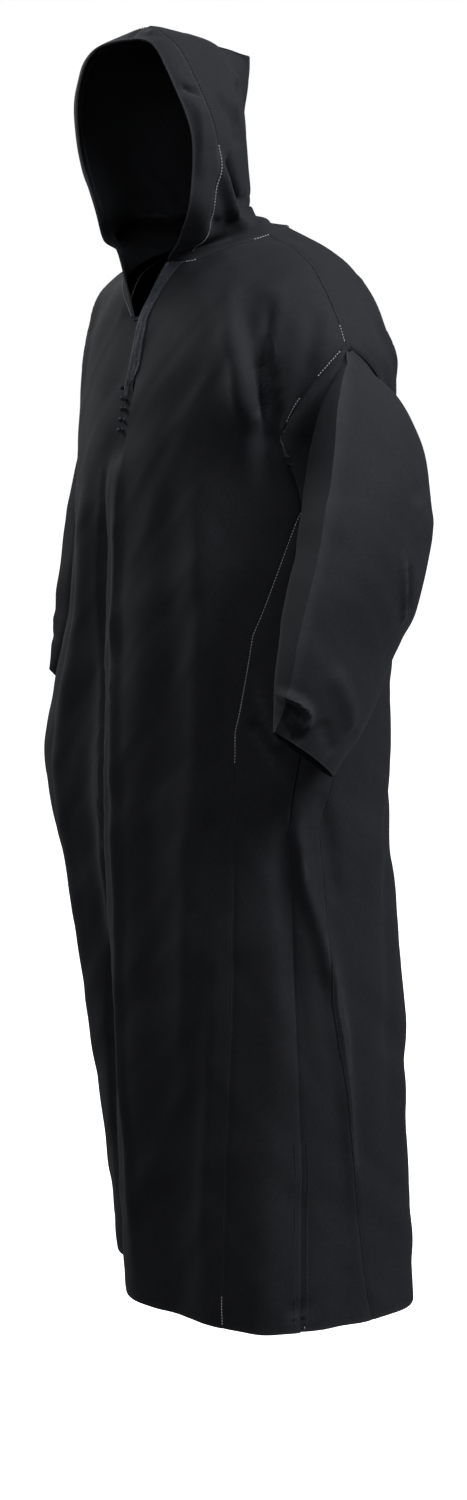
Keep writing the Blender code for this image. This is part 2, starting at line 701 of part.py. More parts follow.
def hood(material, collection):
    """The hood: one sheet folded at the top, sewn up the back and onto the neck."""
    halves = []
    for side in (1, -1):
        front = np.linspace(2 * EDGE_ANGLE, SHOULDER_ANGLE, HALF_PANEL_COLUMNS + 1)
        back = np.linspace(SHOULDER_ANGLE, 180.0 - 2 * EDGE_ANGLE, HALF_PANEL_COLUMNS + 1)[1:]
        angles = side * np.concatenate([front, back])
        levels = np.full(len(angles), float(NECK))
        neck, normal, _, up = body_frame(angles, levels)
        up = up / np.linalg.norm(up, axis=-1, keepdims=True)
        shares = np.linspace(0.0, 1.0, len(angles))
        rows = hood_half(side, neck, up, shares)
        position = np.interp(np.linspace(0, 1, HOOD_COLUMNS // 2 + 1),
                             [row.along for row in HOOD_ROWS] + [1.0], np.arange(len(HOOD_ROWS) + 1))
        halves.append((spline(rows, position), normal))
    left, left_normal = halves[0]
    right, right_normal = halves[1]
    grid = np.concatenate([right[::-1], left[1:]])
    across = np.gradient(grid, axis=0)
    inward = np.gradient(grid, axis=1)
    normal = np.cross(across, inward)
    normal = normal / np.linalg.norm(normal, axis=-1, keepdims=True)
    normal[0] = right_normal
    normal[-1] = left_normal
    points, faces = wall(grid, grid - normal * CLOTH)
    return add_object("hood", points, faces, material, collection)


def braid(material, collection):
    """The braid along the left edge of the opening, laid on the front panel."""
    rows = np.linspace(BRAID_START_ROW, NECK, BRAID_ROWS + 1)
    middle = seam_angle("opening", rows) + 2 * EDGE_ANGLE
    speed = np.linalg.norm(body_frame(middle, rows)[2], axis=-1)
    width = BRAID_NARROW + (BRAID_WIDE - BRAID_NARROW) * smooth((rows - rows[0]) / BRAID_WIDENS_OVER_ROWS)
    width = width * (1.0 - BRAID_TOP_CUT * smooth((rows - NECK) / BRAID_TOP_ROWS + 1.0))
    angles = strip(middle, middle + width / speed, 3)
    grid_rows = np.repeat(rows[:, None], angles.shape[1], axis=1)
    point, normal, _, _ = body_frame(angles, grid_rows)
    outer = point + normal * (BRAID_LIFT + BRAID_THICKNESS)
    inner = point + normal * BRAID_LIFT
    points, faces = wall(outer, inner)
    return add_object("braid_left", points, faces, material, collection)


def knot(number, material, collection):
    """One knotted cord button beside the edge of the opening, on the right side of the front."""
    height = KNOT_TOP_HEIGHT - KNOT_SPACING * number
    levels = np.linspace(ARMPIT, NECK, 200)
    heights = body_point(np.full(len(levels), KNOT_ANGLE), levels)[:, 2]
    row = np.array([np.interp(height, heights, levels)])
    angle = seam_angle("opening", row) + KNOT_ANGLE
    point, normal, _, _ = body_frame(angle, row)
    centre = place(point + opening_tuck(angle, row) + normal * (KNOT_RADIUS + SEAM_GAP))[0]
    bpy.ops.mesh.primitive_ico_sphere_add(subdivisions=2, radius=KNOT_RADIUS, location=centre)
    piece = bpy.context.object
    piece.name = "knot_" + str(number + 1)
    piece.data.materials.append(material)
    piece.data.shade_smooth()
    for holder in list(piece.users_collection):
        holder.objects.unlink(piece)
    collection.objects.link(piece)


def build():
    """The whole robe."""
    for item in list(bpy.data.objects):
        bpy.data.objects.remove(item, do_unlink=True)
    robe = bpy.data.collections.new("djellaba_robe")
    bpy.context.scene.collection.children.link(robe)
    cloth = make_material("black_twill", (0.012, 0.012, 0.014), 0.8)
    trim = make_material("dark_braid", (0.02, 0.025, 0.035), 0.6)
    front_panel(cloth, robe)
    back_panel(cloth, robe)
    for side, word in ((1, "left"), (-1, "right")):
        gore("gore_front_" + word, side, True, cloth, robe)
        gore("gore_back_" + word, side, False, cloth, robe)
    sleeve("sleeve_left", 1, LEFT_SLEEVE, cloth, robe)
    sleeve("sleeve_right", -1, RIGHT_SLEEVE, cloth, robe)
    hood(cloth, robe)
    braid(trim, robe)
    for number in range(KNOT_COUNT):
        knot(number, trim, robe)


build()
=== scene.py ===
"""The djellaba robe, worn: its cloth as thin shells on the frame's solids, its braid, knots and sewing."""
import math
from typing import NamedTuple

import bmesh
import bpy
import numpy as np
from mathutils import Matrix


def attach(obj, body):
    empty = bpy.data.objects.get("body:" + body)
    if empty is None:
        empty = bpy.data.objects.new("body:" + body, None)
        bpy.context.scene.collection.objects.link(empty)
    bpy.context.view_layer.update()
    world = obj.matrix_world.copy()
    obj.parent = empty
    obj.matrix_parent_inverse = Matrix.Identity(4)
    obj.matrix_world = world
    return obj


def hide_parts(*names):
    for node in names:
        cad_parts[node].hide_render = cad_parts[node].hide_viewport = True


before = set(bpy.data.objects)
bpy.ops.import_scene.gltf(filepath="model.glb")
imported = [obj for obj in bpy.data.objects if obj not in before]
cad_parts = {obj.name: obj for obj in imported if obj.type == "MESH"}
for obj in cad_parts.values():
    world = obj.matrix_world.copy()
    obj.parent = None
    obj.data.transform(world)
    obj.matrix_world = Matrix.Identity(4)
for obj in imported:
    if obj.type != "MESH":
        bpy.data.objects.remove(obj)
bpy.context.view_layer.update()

# Driving dimensions
CLOTH = 0.002
SEAM_GAP = 0.0003
ORIGIN_HEIGHT = 1.500
BRAID_NARROW = 0.007
BRAID_WIDE = 0.024
BRAID_WIDENS_OVER_ROWS = 0.5
BRAID_TOP_CUT = 0.3
BRAID_TOP_ROWS = 0.4
BRAID_START_ROW = 7.85
BRAID_LIFT = 0.0005
BRAID_BASE = 0.0008
BRAID_PITCH = 0.0026
BRAID_SLOPE = 0.9
BRAID_MIDDLE = 0.45
BRAID_LOOPS_END = 0.90
BRAID_LOOPS_POWER = 0.6
BRAID_SHORT_OF_NECK = 0.035
BRAID_RELIEF = 0.0009
BRAID_CORD = 0.0007
BRAID_CORD_FROM = 0.86
BRAID_CORD_WIDTH = 0.14
BRAID_CORD_PITCH = 0.0016
BRAID_CORD_SLANT = 6
BRAID_CORD_TWIST = 0.3
BRAID_ROWS_FINE = 760
BRAID_COLUMNS = 22
KNOT_RADIUS = 0.0030
KNOT_SPACING = 0.0125
KNOT_COUNT = 5
KNOT_TOP_HEIGHT = 1.362
KNOT_ANGLE = -4.0
KNOT_TILT = 0.16
KNOT_WRAPS = 3
KNOT_WRAP_HEIGHT = 0.0006
KNOT_WRAP_SLOPE = 2.2
KNOT_WRAP_SHIFT = 0.8
KNOT_FLATNESS = 0.92
KNOT_LEVELS = 200
LOOP_LENGTH = 0.0060
LOOP_WIDTH = 0.0036
LOOP_CORD = 0.0006
LOOP_NARROWS = 0.25
MODEL_LOOP_RADIUS = 0.5
MODEL_LOOP_CORD = 0.1
OPENING_END_HEIGHT = 1.262
OPENING_OVERLAP = 0.010
OPENING_TUCK = 0.0045
TUCK_DEGREES = 16.0
TUCK_RISE = 0.04
TUCK_ENDS_BELOW_NECK = 0.9
POCKET_HEIGHTS = (0.855, 0.975)
POCKET_MOUTH = 0.011
SLIT_TOP_HEIGHT = 0.500
SLIT_SPREAD = 0.003
ARMHOLE_TURN = 1.8
SLEEVE_CLEARANCE = 0.006
SLEEVE_CLEARANCE_RISE = 2.5
SLEEVE_ROUNDNESS = 0.9
SHOULDER_STEP = 0.010
UNDERARM_STEP = 0.018
UNDERARM_SHARPNESS = 4
ARMPIT_MARGIN = 0.12

# Steps for measuring directions on the body, and how near to the opening's line a sheet ends
ANGLE_STEP = 0.05
ROW_STEP = 0.002
EDGE_ANGLE = 1e-4

# Angles round the body from its front: the shoulder line, and where heights at the side are measured
SHOULDER_ANGLE = 90.0
SIDE_ANGLE = 70.0
NECK_CENTRE = (0.0, -0.03)

# How finely the cloth is divided
ROWS_BELOW_ARM = 150
ROWS_AT_ARMHOLE = 44
ROWS_AT_SHOULDER = 40
HALF_PANEL_COLUMNS = 62
GORE_COLUMNS = 14
SLEEVE_RINGS = 180
HOOD_DOWN = 120
WALL_ANGLES = 241
WALL_LEVELS = 181
CREASE_STEPS = 6
CREASE_LEVELS = 160
SHARP_ANGLE = math.radians(30)

# Shares of a sheet's width at which its first columns lie
PANEL_EDGES = (0.0015, 0.004)
GORE_EDGES = (0.012, 0.03)
HOOD_EDGES = (0.004, 0.010)

# Widths of the sheets, for what is measured from their edges
HALF_FRONT_WIDTH = 0.30
BACK_WIDTH = 0.60
GORE_WIDTH = 0.10

# The side slits and pocket mouths: the back half lies under the front half
SLIT_OPEN = 0.0010
SLIT_SHOWS = 0.30
SLIT_UNDER = 0.006
SLIT_TUCK = 0.0045
SLIT_TUCK_WIDTH = 0.02

# Stitches and seams
HEM_DEPTH = 0.022
HEM_STEP = 0.002
HEM_EXTRA = 0.0012
PUCKER_PITCH = 0.0085
PUCKER_HEIGHT = 0.0013
PUCKER_REACH = 0.012
PUCKER_ASIDE = 0.008
PUCKER_WANDER = 1.1
PUCKER_WANDER_RATE = 37
PUCKER_FADE = 0.08
STITCH_LENGTH = 0.0027
STITCH_GAP = 0.0009
STITCH_ARCH = 0.7
STITCH_TAPER = 0.25
THREAD_RADIUS = 0.0005
SEAM_ROLL = 0.0012
SEAM_ROLL_WIDTH = 0.004
SEAM_STEPS = 240
NECK_STEPS = 160
ON_CLOTH = 0.0002
SLEEVE_ROLL_ROWS = 0.12
SLEEVE_HOLD_ROWS = 0.8
HOOD_HOLD_FROM = 0.90
HOOD_HOLD_OVER = 0.10
HOOD_SEAM_SHARE = 0.155
HOOD_SEAM_HALF = 0.005
HOOD_SEAM_DEPTH = 0.0012
HOOD_STITCH_ASIDE = 0.006
HOOD_STITCH_LIFT = 0.0003

# How a crease fades: at its ends, as a share of its length, and to its sides, in its own widths
CREASE_ENDS = 0.25
CREASE_REACH = 3
CREASE_NEAR = 4

# How the waves of the cloth wander, and how rubbed the cloth is beside its edges
WAVE_WANDER = 1.3
WAVE_WANDER_RATE = 0.61
WEAR_BESIDE = 0.4


class Section(NamedTuple):
    """One ring of the body: heights at its front, sides and back, half sizes, centre and turn in degrees."""
    front: float
    side: float
    back: float
    half_width: float
    front_depth: float
    back_depth: float
    centre_x: float
    centre_y: float
    turn: float
    power: float


HEM, KNEE, THIGH, POCKET, HIP, WAIST, ARMPIT, CHEST, TIP, YOKE, NECK = range(11)
SECTIONS = [
    Section(0.240, 0.258, 0.264, 0.270, 0.190, 0.178, 0.050, 0.018, 20.0, 2.1),
    Section(0.440, 0.445, 0.445, 0.272, 0.186, 0.172, 0.026, 0.012, 14.0, 2.1),
    Section(0.650, 0.650, 0.650, 0.284, 0.182, 0.150, 0.002, 0.006, 8.0, 2.2),
    Section(0.850, 0.850, 0.850, 0.306, 0.180, 0.120, -0.034, 0.000, 2.0, 2.3),
    Section(0.970, 0.965, 0.970, 0.286, 0.176, 0.110, -0.026, 0.000, 0.0, 2.5),
    Section(1.085, 1.080, 1.085, 0.254, 0.172, 0.122, -0.004, 0.000, 0.0, 2.6),
    Section(1.205, 1.230, 1.225, 0.246, 0.166, 0.126, -0.004, 0.000, 0.0, 2.5),
    Section(1.290, 1.310, 1.300, 0.248, 0.156, 0.138, 0.000, -0.004, 0.0, 2.4),
    Section(1.365, 1.412, 1.395, 0.252, 0.129, 0.172, 0.014, -0.022, 0.0, 2.1),
    Section(1.438, 1.502, 1.495, 0.196, 0.118, 0.142, 0.000, -0.020, 0.0, 2.1),
]


class NeckPoint(NamedTuple):
    """A point of the neck seam, by its angle from the front round to the robe's left."""
    angle: float
    x: float
    y: float
    height: float


NECK_SEAM = [
    NeckPoint(0, 0.022, -0.110, 1.512),
    NeckPoint(30, 0.055, -0.098, 1.512),
    NeckPoint(60, 0.084, -0.066, 1.527),
    NeckPoint(90, 0.100, -0.018, 1.545),
    NeckPoint(135, 0.072, 0.028, 1.555),
    NeckPoint(180, 0.000, 0.048, 1.558),
    NeckPoint(225, -0.072, 0.028, 1.553),
    NeckPoint(270, -0.100, -0.022, 1.535),
    NeckPoint(300, -0.086, -0.080, 1.515),
    NeckPoint(330, -0.055, -0.125, 1.490),
    NeckPoint(360, -0.010, -0.138, 1.442),
]


class Seams(NamedTuple):
    """Where the cut lines lie on each ring: degrees from the ring's front."""
    opening: float
    front: float
    side: float
    back: float


SEAMS = [
    Seams(10, 55, 83, 111),
    Seams(8, 53, 80, 99),
    Seams(6, 51, 73, 86),
    Seams(3, 47, 65, 77),
    Seams(1, 46, 70, 86),
    Seams(0, 53, 80, 102),
    Seams(0, 73, 92, 114),
    Seams(0, 63, 90, 122),
    Seams(-5, 89.9, 90, 90.1),
    Seams(0, 89.9, 90, 90.1),
    Seams(0, 89.9, 90, 90.1),
]


class Fold(NamedTuple):
    """A long soft fold of the body: a ridge where the depth is above 0, a trough where it is below."""
    top: float
    bottom: float
    angle_top: float
    angle_bottom: float
    width: float
    depth: float


FOLDS = [
    Fold(1.510, 1.215, 34, 55, 6, 0.013),
    Fold(1.495, 1.215, 50, 60, 5, -0.015),
    Fold(1.480, 1.225, -44, -56, 6, -0.012),
    Fold(1.300, 0.150, -8, -7, 7, -0.022),
    Fold(1.200, 0.150, 8, 14, 9, 0.010),
    Fold(0.900, 0.150, 33, 36, 10, -0.010),
    Fold(0.800, 0.150, 66, 70, 8, 0.008),
    Fold(0.780, 0.150, 96, 98, 8, -0.008),
    Fold(0.860, 0.150, 126, 130, 10, 0.012),
    Fold(0.950, 0.150, 150, 152, 9, -0.012),
    Fold(1.050, 0.150, 176, 178, 10, 0.010),
    Fold(0.950, 0.150, -34, -38, 10, 0.010),
    Fold(0.880, 0.150, -62, -66, 9, -0.010),
    Fold(0.820, 0.150, -95, -98, 9, 0.010),
    Fold(0.860, 0.150, -124, -128, 10, -0.012),
    Fold(0.950, 0.150, -150, -153, 9, 0.011),
]

FOLD_FADE = 0.16
FOLD_AT_START = 0.45


class SleeveRing(NamedTuple):
    """A ring of a sleeve: its crease, the underarm point across from it, and the swell of each face."""
    crease: tuple
    underarm: tuple
    outer_swell: float
    inner_swell: float
    inner_at: float


LEFT_SLEEVE = [
    SleeveRing((0.290, -0.045, 1.370), (0.254, 0.076, 1.242), 0.050, 0.044, 0.26),
    SleeveRing((0.320, -0.078, 1.282), (0.258, 0.092, 1.192), 0.048, 0.054, 0.22),
    SleeveRing((0.340, -0.110, 1.190), (0.264, 0.074, 1.120), 0.042, 0.050, 0.22),
    SleeveRing((0.344, -0.135, 1.109), (0.270, 0.036, 1.050), 0.032, 0.044, 0.22),
    SleeveRing((0.338, -0.147, 1.040), (0.285, -0.012, 0.980), 0.030, 0.038, 0.24),
    SleeveRing((0.312, -0.148, 0.985), (0.300, -0.066, 0.926), 0.024, 0.022, 0.40),
]
RIGHT_SLEEVE = [
    SleeveRing((-0.272, -0.030, 1.370), (-0.260, 0.084, 1.242), 0.046, 0.040, 0.32),
    SleeveRing((-0.300, -0.050, 1.282), (-0.268, 0.098, 1.192), 0.052, 0.052, 0.28),
    SleeveRing((-0.316, -0.066, 1.190), (-0.276, 0.090, 1.120), 0.054, 0.054, 0.26),
    SleeveRing((-0.318, -0.076, 1.109), (-0.284, 0.066, 1.050), 0.048, 0.050, 0.26),
    SleeveRing((-0.316, -0.084, 1.040), (-0.292, 0.030, 0.980), 0.036, 0.040, 0.28),
    SleeveRing((-0.312, -0.094, 0.985), (-0.310, -0.022, 0.926), 0.024, 0.020, 0.40),
]


# The hood is measured from its own middle: forward, towards the robe's left, and the height.
HOOD_X = 0.000
HOOD_Y = -0.090
HOOD_TURN = math.radians(22.0)
HOOD_LIP_BACK = 0.026
HOOD_LIP_OUT = 0.016
HOOD_LIP_TURNS_WITHIN = 0.05
HOOD_QUARTER_OUT = 0.50
HOOD_ACROSS = (0.0, 0.14, 0.5, 0.78, 1.0)


class HoodRow(NamedTuple):
    """A line across one half of the hood, from its front edge over the side to the back seam."""
    along: float
    edge_forward: float
    edge_left: float
    edge_right: float
    edge_height: float
    side_forward: float
    side_out: float
    side_height: float
    back_forward: float
    back_height: float


HOOD_ROWS = [
    HoodRow(0.00, 0.074, 0.000, 0.000, 1.766, -0.030, 0.000, 1.782, -0.162, 1.768),
    HoodRow(0.18, 0.084, 0.034, 0.050, 1.757, -0.030, 0.044, 1.764, -0.160, 1.740),
    HoodRow(0.38, 0.088, 0.066, 0.072, 1.712, -0.030, 0.078, 1.708, -0.150, 1.690),
    HoodRow(0.58, 0.080, 0.088, 0.076, 1.650, -0.030, 0.086, 1.645, -0.156, 1.636),
    HoodRow(0.75, 0.080, 0.084, 0.054, 1.575, -0.036, 0.082, 1.590, -0.160, 1.600),
    HoodRow(0.86, 0.064, 0.058, 0.056, 1.540, -0.030, 0.086, 1.566, -0.138, 1.583),
    HoodRow(0.94, 0.048, 0.034, 0.046, 1.522, -0.040, 0.106, 1.550, -0.162, 1.572),
]


def curve_between(p0, p1, p2, p3, part):
    """A point of the smooth curve from p1 to p2, which takes its directions from the rows beside them."""
    bend = 2 * p0 - 5 * p1 + 4 * p2 - p3 + part * (3 * (p1 - p2) + p3 - p0)
    return p1 + 0.5 * part * (p2 - p0 + part * bend)


def spline(rows, at):
    """Points on the smooth curve through the rows, at the given row numbers; rows run along axis 0."""
    rows = np.asarray(rows, dtype=float)
    at = np.asarray(at, dtype=float)
    last = len(rows) - 1
    low = np.clip(np.floor(at).astype(int), 0, last - 1)
    part = (at - low).reshape(at.shape + (1,) * (rows.ndim - 1))
    before = rows[np.maximum(low - 1, 0)]
    after = rows[np.minimum(low + 2, last)]
    return curve_between(before, rows[low], rows[low + 1], after, part)


def smooth(value):
    """0 to 1 with a soft start and end."""
    value = np.clip(value, 0.0, 1.0)
    return value * value * (3.0 - 2.0 * value)


def section_point(section, angle):
    """A point of one body ring before the folds."""
    turn = math.radians(section.turn)
    sine = np.sin(np.radians(angle))
    cosine = np.cos(np.radians(angle))
    share = 0.5 + 0.5 * cosine
    depth = section.back_depth + (section.front_depth - section.back_depth) * share
    out = section.half_width * np.sign(sine) * np.abs(sine) ** (2.0 / section.power)
    ahead = depth * np.sign(cosine) * np.abs(cosine) ** (2.0 / section.power)
    x = section.centre_x + out * math.cos(turn) - ahead * math.sin(turn)
    y = section.centre_y - out * math.sin(turn) - ahead * math.cos(turn)
    end = np.where(cosine > 0, section.front, section.back)
    height = section.side + (end - section.side) * cosine ** 2
    return np.stack([x, y, height], axis=-1)


def neck_point(angle):
    """A point of the neck seam; angles below 0 are on the robe's right."""
    turned = np.where(angle < 0, angle + 360.0, angle)
    table = np.array(NECK_SEAM)
    position = np.interp(turned, table[:, 0], np.arange(len(table)))
    return spline(table[:, 1:], position)


def fold_lift(angle, height):
    """How far the folds move the cloth out."""
    lift = np.zeros_like(height)
    for fold in FOLDS:
        share = (fold.top - height) / (fold.top - fold.bottom)
        middle = fold.angle_top + (fold.angle_bottom - fold.angle_top) * np.clip(share, 0, 1)
        away = (angle - middle + 180.0) % 360.0 - 180.0
        fade = smooth((fold.top - height) / FOLD_FADE)
        if fold.bottom > SECTIONS[HEM].side:
            fade = fade * smooth((height - fold.bottom) / FOLD_FADE)
        else:
            fade = fade * (FOLD_AT_START + (1.0 - FOLD_AT_START) * smooth(share))
        lift = lift + fold.depth * np.exp(-((away / fold.width) ** 2)) * fade
    return lift


def body_point(angle, row):
    """The outer face of the robe's body at an angle round it and a row number between HEM and NECK."""
    angle = np.asarray(angle, dtype=float)
    row = np.broadcast_to(np.asarray(row, dtype=float), angle.shape)
    rings = [section_point(section, angle) for section in SECTIONS] + [neck_point(angle)]
    rings = np.stack(rings)
    last = len(rings) - 1
    low = np.clip(np.floor(row).astype(int), 0, last - 1)
    part = (row - low)[..., None]

    def pick(index):
        index = np.clip(index, 0, last)
        return np.take_along_axis(rings, index[None, ..., None].repeat(3, -1), axis=0)[0]

    point = curve_between(pick(low - 1), pick(low), pick(low + 1), pick(low + 2), part)
    centre = spline([(s.centre_x, s.centre_y) for s in SECTIONS] + [NECK_CENTRE], row)
    out = point[..., :2] - centre
    out = out / np.linalg.norm(out, axis=-1, keepdims=True)
    point[..., :2] += out * fold_lift(angle, point[..., 2])[..., None]
    return point


def body_frame(angle, row):
    """The point, the outward normal, and the steps along the angle (per degree) and along the row."""
    point = body_point(angle, row)
    # The two sides of the opening are apart at the neck, so the steps stay on their own side of it.
    before = np.where(angle > 0, np.maximum(angle - ANGLE_STEP, EDGE_ANGLE), angle - ANGLE_STEP)
    after = np.where(angle < 0, np.minimum(angle + ANGLE_STEP, -EDGE_ANGLE), angle + ANGLE_STEP)
    along = (body_point(after, row) - body_point(before, row)) / (after - before)[..., None]
    high = np.minimum(row + ROW_STEP, NECK)
    low = np.maximum(row - ROW_STEP, HEM)
    up = (body_point(angle, high) - body_point(angle, low)) / (high - low)[..., None]
    normal = np.cross(along, up)
    normal = normal / np.linalg.norm(normal, axis=-1, keepdims=True)
    return point, normal, along, up


def seam_angle(name, row):
    """The angle of a cut line at a row number."""
    column = [getattr(seams, name) for seams in SEAMS]
    row = np.asarray(row, dtype=float)
    # The armhole runs level from the shoulder point at first and then turns down.
    share = np.clip(row - CHEST, 0.0, 1.0)
    bent = np.where((row > CHEST) & (row < TIP), CHEST + share ** ARMHOLE_TURN, row)
    return np.interp(bent, np.arange(len(column)), column)


def side_row_heights(rows):
    """Heights of the body at the side, for given row numbers."""
    return body_point(np.full(len(rows), SIDE_ANGLE), rows)[:, 2]


def body_rows(first, last):
    """Row numbers of the body's mesh between two rings."""
    below = np.linspace(HEM, ARMPIT, ROWS_BELOW_ARM + 1)
    arm = np.linspace(ARMPIT, TIP, ROWS_AT_ARMHOLE + 1)[1:]
    above = np.linspace(TIP, NECK, ROWS_AT_SHOULDER + 1)[1:]
    rows = np.concatenate([below, arm, above])
    return rows[(rows >= first - 1e-9) & (rows <= last + 1e-9)]


def place(points):
    """From heights above the ground to the part's own frame."""
    moved = np.array(points, dtype=float)
    moved[..., 2] -= ORIGIN_HEIGHT
    return moved


def seam_gap_at(angle, row):
    """Half the gap in degrees at a cut line."""
    along = body_frame(angle, row)[2]
    return 0.5 * SEAM_GAP / np.linalg.norm(along, axis=-1)


def side_opening(row):
    """Extra half gap in metres where the side seam is open: the pocket mouth and the slit at the hem."""
    height = side_row_heights(row)
    low, high = POCKET_HEIGHTS
    share = (height - low) / (high - low)
    arch = np.where((share > 0) & (share < 1), np.sin(np.pi * np.clip(share, 0, 1)), 0)
    mouth = 0.5 * POCKET_MOUTH * arch
    slit = 0.5 * SLIT_SPREAD * smooth((SLIT_TOP_HEIGHT - height) / (SLIT_TOP_HEIGHT - SECTIONS[HEM].side))
    return mouth + slit


def opening_tuck(angle, row):
    """How far the right side of the chest opening is moved to lie behind the left side."""
    middle = seam_angle("opening", row)
    height = body_point(angle, row)[..., 2]
    near = smooth(1.0 - (middle - angle) / TUCK_DEGREES)
    opened = smooth((height - OPENING_END_HEIGHT) / TUCK_RISE)
    # The tuck fades out at the neck, where the two corners hang apart.
    held = smooth((NECK - row) / TUCK_ENDS_BELOW_NECK)
    amount = (near * opened * held)[..., None]
    return amount * np.array([OPENING_OVERLAP, OPENING_TUCK, 0.0])


def rows_closed(height):
    """Number of mesh rows, from the hem up, in which the front is whole."""
    return int(np.sum(height < OPENING_END_HEIGHT))


def wrap(angles):
    """Angles from -180 to 180."""
    return (angles + 180.0) % 360.0 - 180.0


def armhole(side):
    """The loop of the armhole: points, body normals and the direction away from the body's cloth."""
    rows = body_rows(ARMPIT, TIP)[::-1]
    front = seam_angle("front", rows)
    back = seam_angle("back", rows)
    front[0] = SHOULDER_ANGLE
    gore_f = np.linspace(front[-1], seam_angle("side", ARMPIT), GORE_COLUMNS + 1)[1:]
    gore_b = np.linspace(seam_angle("side", ARMPIT), back[-1], GORE_COLUMNS + 1)[1:-1]
    angles = np.concatenate([front, gore_f, gore_b, back[1:][::-1]])
    levels = np.concatenate([rows, np.full(len(gore_f) + len(gore_b), float(ARMPIT)), rows[1:][::-1]])
    point, normal, along, up = body_frame(side * angles, levels)
    along = side * along / np.linalg.norm(along, axis=-1, keepdims=True)
    up = up / np.linalg.norm(up, axis=-1, keepdims=True)
    away = np.zeros_like(point)
    edge = len(rows)
    top = len(gore_f) + len(gore_b)
    away[1:edge] = along[1:edge]
    away[edge:edge + top] = up[edge:edge + top]
    away[edge + top:] = -along[edge + top:]
    away[edge - 1] += up[edge - 1]
    away[edge + top] += up[edge + top]
    away[0] = -up[0]
    away = away / np.linalg.norm(away, axis=-1, keepdims=True)
    return point, normal, away


def ring_point(ring, share, outer, axis):
    """A point on one face of a sleeve ring; share runs from the crease to the underarm point."""
    crease = np.array(ring.crease)
    underarm = np.array(ring.underarm)
    chord = underarm - crease
    out = np.cross(axis, chord)
    out = out / np.linalg.norm(out)
    turn = math.pi * share
    along = share * (1.0 - share) + (0.5 - 0.5 * np.cos(turn)) * share
    if outer:
        swell = ring.outer_swell * np.sin(turn) ** SLEEVE_ROUNDNESS
    else:
        skew = share ** (math.log(0.5) / math.log(ring.inner_at))
        swell = -ring.inner_swell * np.sin(math.pi * skew)
    return crease + along[:, None] * chord + swell[:, None] * out


def clear_of_body(points, clearance):
    """Points moved out from the body's walls until they are clear of them by the given distance."""
    angles = np.linspace(-180.0, 180.0, WALL_ANGLES)
    levels = np.linspace(HEM, YOKE, WALL_LEVELS)
    grid = body_point(*np.meshgrid(angles, levels))
    lines = [grid[:, n] for n in range(len(angles))]
    row_of = np.stack([np.interp(points[:, 2], line[:, 2], levels) for line in lines], axis=1)
    x = np.stack([np.interp(points[:, 2], line[:, 2], line[:, 0]) for line in lines], axis=1)
    y = np.stack([np.interp(points[:, 2], line[:, 2], line[:, 1]) for line in lines], axis=1)
    moved = points.copy()
    for number, point in enumerate(points):
        centre = np.array([x[number, :-1].mean(), y[number, :-1].mean()])
        turn = np.degrees(np.arctan2(x[number] - centre[0], -(y[number] - centre[1])))
        order = np.argsort(turn)
        reach = np.hypot(x[number] - centre[0], y[number] - centre[1])[order]
        out = point[:2] - centre
        own_turn = math.degrees(math.atan2(out[0], -out[1]))
        own_reach = math.hypot(*out)
        wall_reach = np.interp(own_turn, turn[order], reach, period=360.0)
        angle = abs(np.interp(own_turn, turn[order], angles[order], period=360.0))
        row = np.interp(own_turn, turn[order], row_of[number][order], period=360.0)
        between_seams = seam_angle("front", row) < angle < seam_angle("back", row)
        in_armhole = row > ARMPIT + ARMPIT_MARGIN and between_seams
        need = wall_reach + clearance[number]
        if own_reach < need and not in_armhole:
            moved[number, :2] = centre + out / own_reach * need
    return moved


def loop_shares(loop, half):
    """Share of the way from the tip to the underarm point, for each point of the armhole loop."""
    steps = np.linalg.norm(np.diff(np.concatenate([loop, loop[:1]]), axis=0), axis=1)
    run = np.concatenate([[0.0], np.cumsum(steps)])
    first = run[:half + 1] / run[half]
    second = (run[-1] - run[half:-1]) / (run[-1] - run[half])
    return first, second


def hood_place(forward, out, height):
    """From the hood's own axes to the part's X and Y."""
    x = HOOD_X + forward * math.sin(HOOD_TURN) + out * math.cos(HOOD_TURN)
    y = HOOD_Y - forward * math.cos(HOOD_TURN) + out * math.sin(HOOD_TURN)
    return np.stack([x, y, height], axis=-1)


def hood_half(side, neck, neck_up, shares):
    """Lines from the hood's front edge to its back seam for one half, from the top down to the neck seam."""
    lines = []
    for row in HOOD_ROWS:
        out = row.edge_left if side > 0 else row.edge_right
        edge = hood_place(row.edge_forward, side * out, row.edge_height)
        turned = min(1.0, out / HOOD_LIP_TURNS_WITHIN)
        lip_out = side * (out + HOOD_LIP_OUT * turned)
        lip_up = row.edge_height + HOOD_LIP_OUT * (1.0 - turned)
        lip = hood_place(row.edge_forward - HOOD_LIP_BACK, lip_out, lip_up)
        middle = hood_place(row.side_forward, side * row.side_out, row.side_height)
        quarter_forward = 0.5 * (row.side_forward + row.back_forward)
        quarter_height = 0.5 * (row.side_height + row.back_height)
        quarter = hood_place(quarter_forward, side * HOOD_QUARTER_OUT * row.side_out, quarter_height)
        back = hood_place(row.back_forward, side * 0.5 * SEAM_GAP, row.back_height)
        line = np.stack([edge, lip, middle, quarter, back])
        lines.append(spline(line, np.interp(shares, HOOD_ACROSS, np.arange(len(line)))))
    lines.append(neck + neck_up * SEAM_GAP)
    return np.stack(lines)


# Creases

class Crease(NamedTuple):
    """A soft ridge, or a trough where the depth is below 0.

    Its path runs through points on the cloth, given as (angle round the body, height) or as (x, y, height).
    """
    path: tuple
    width: float
    depth: float


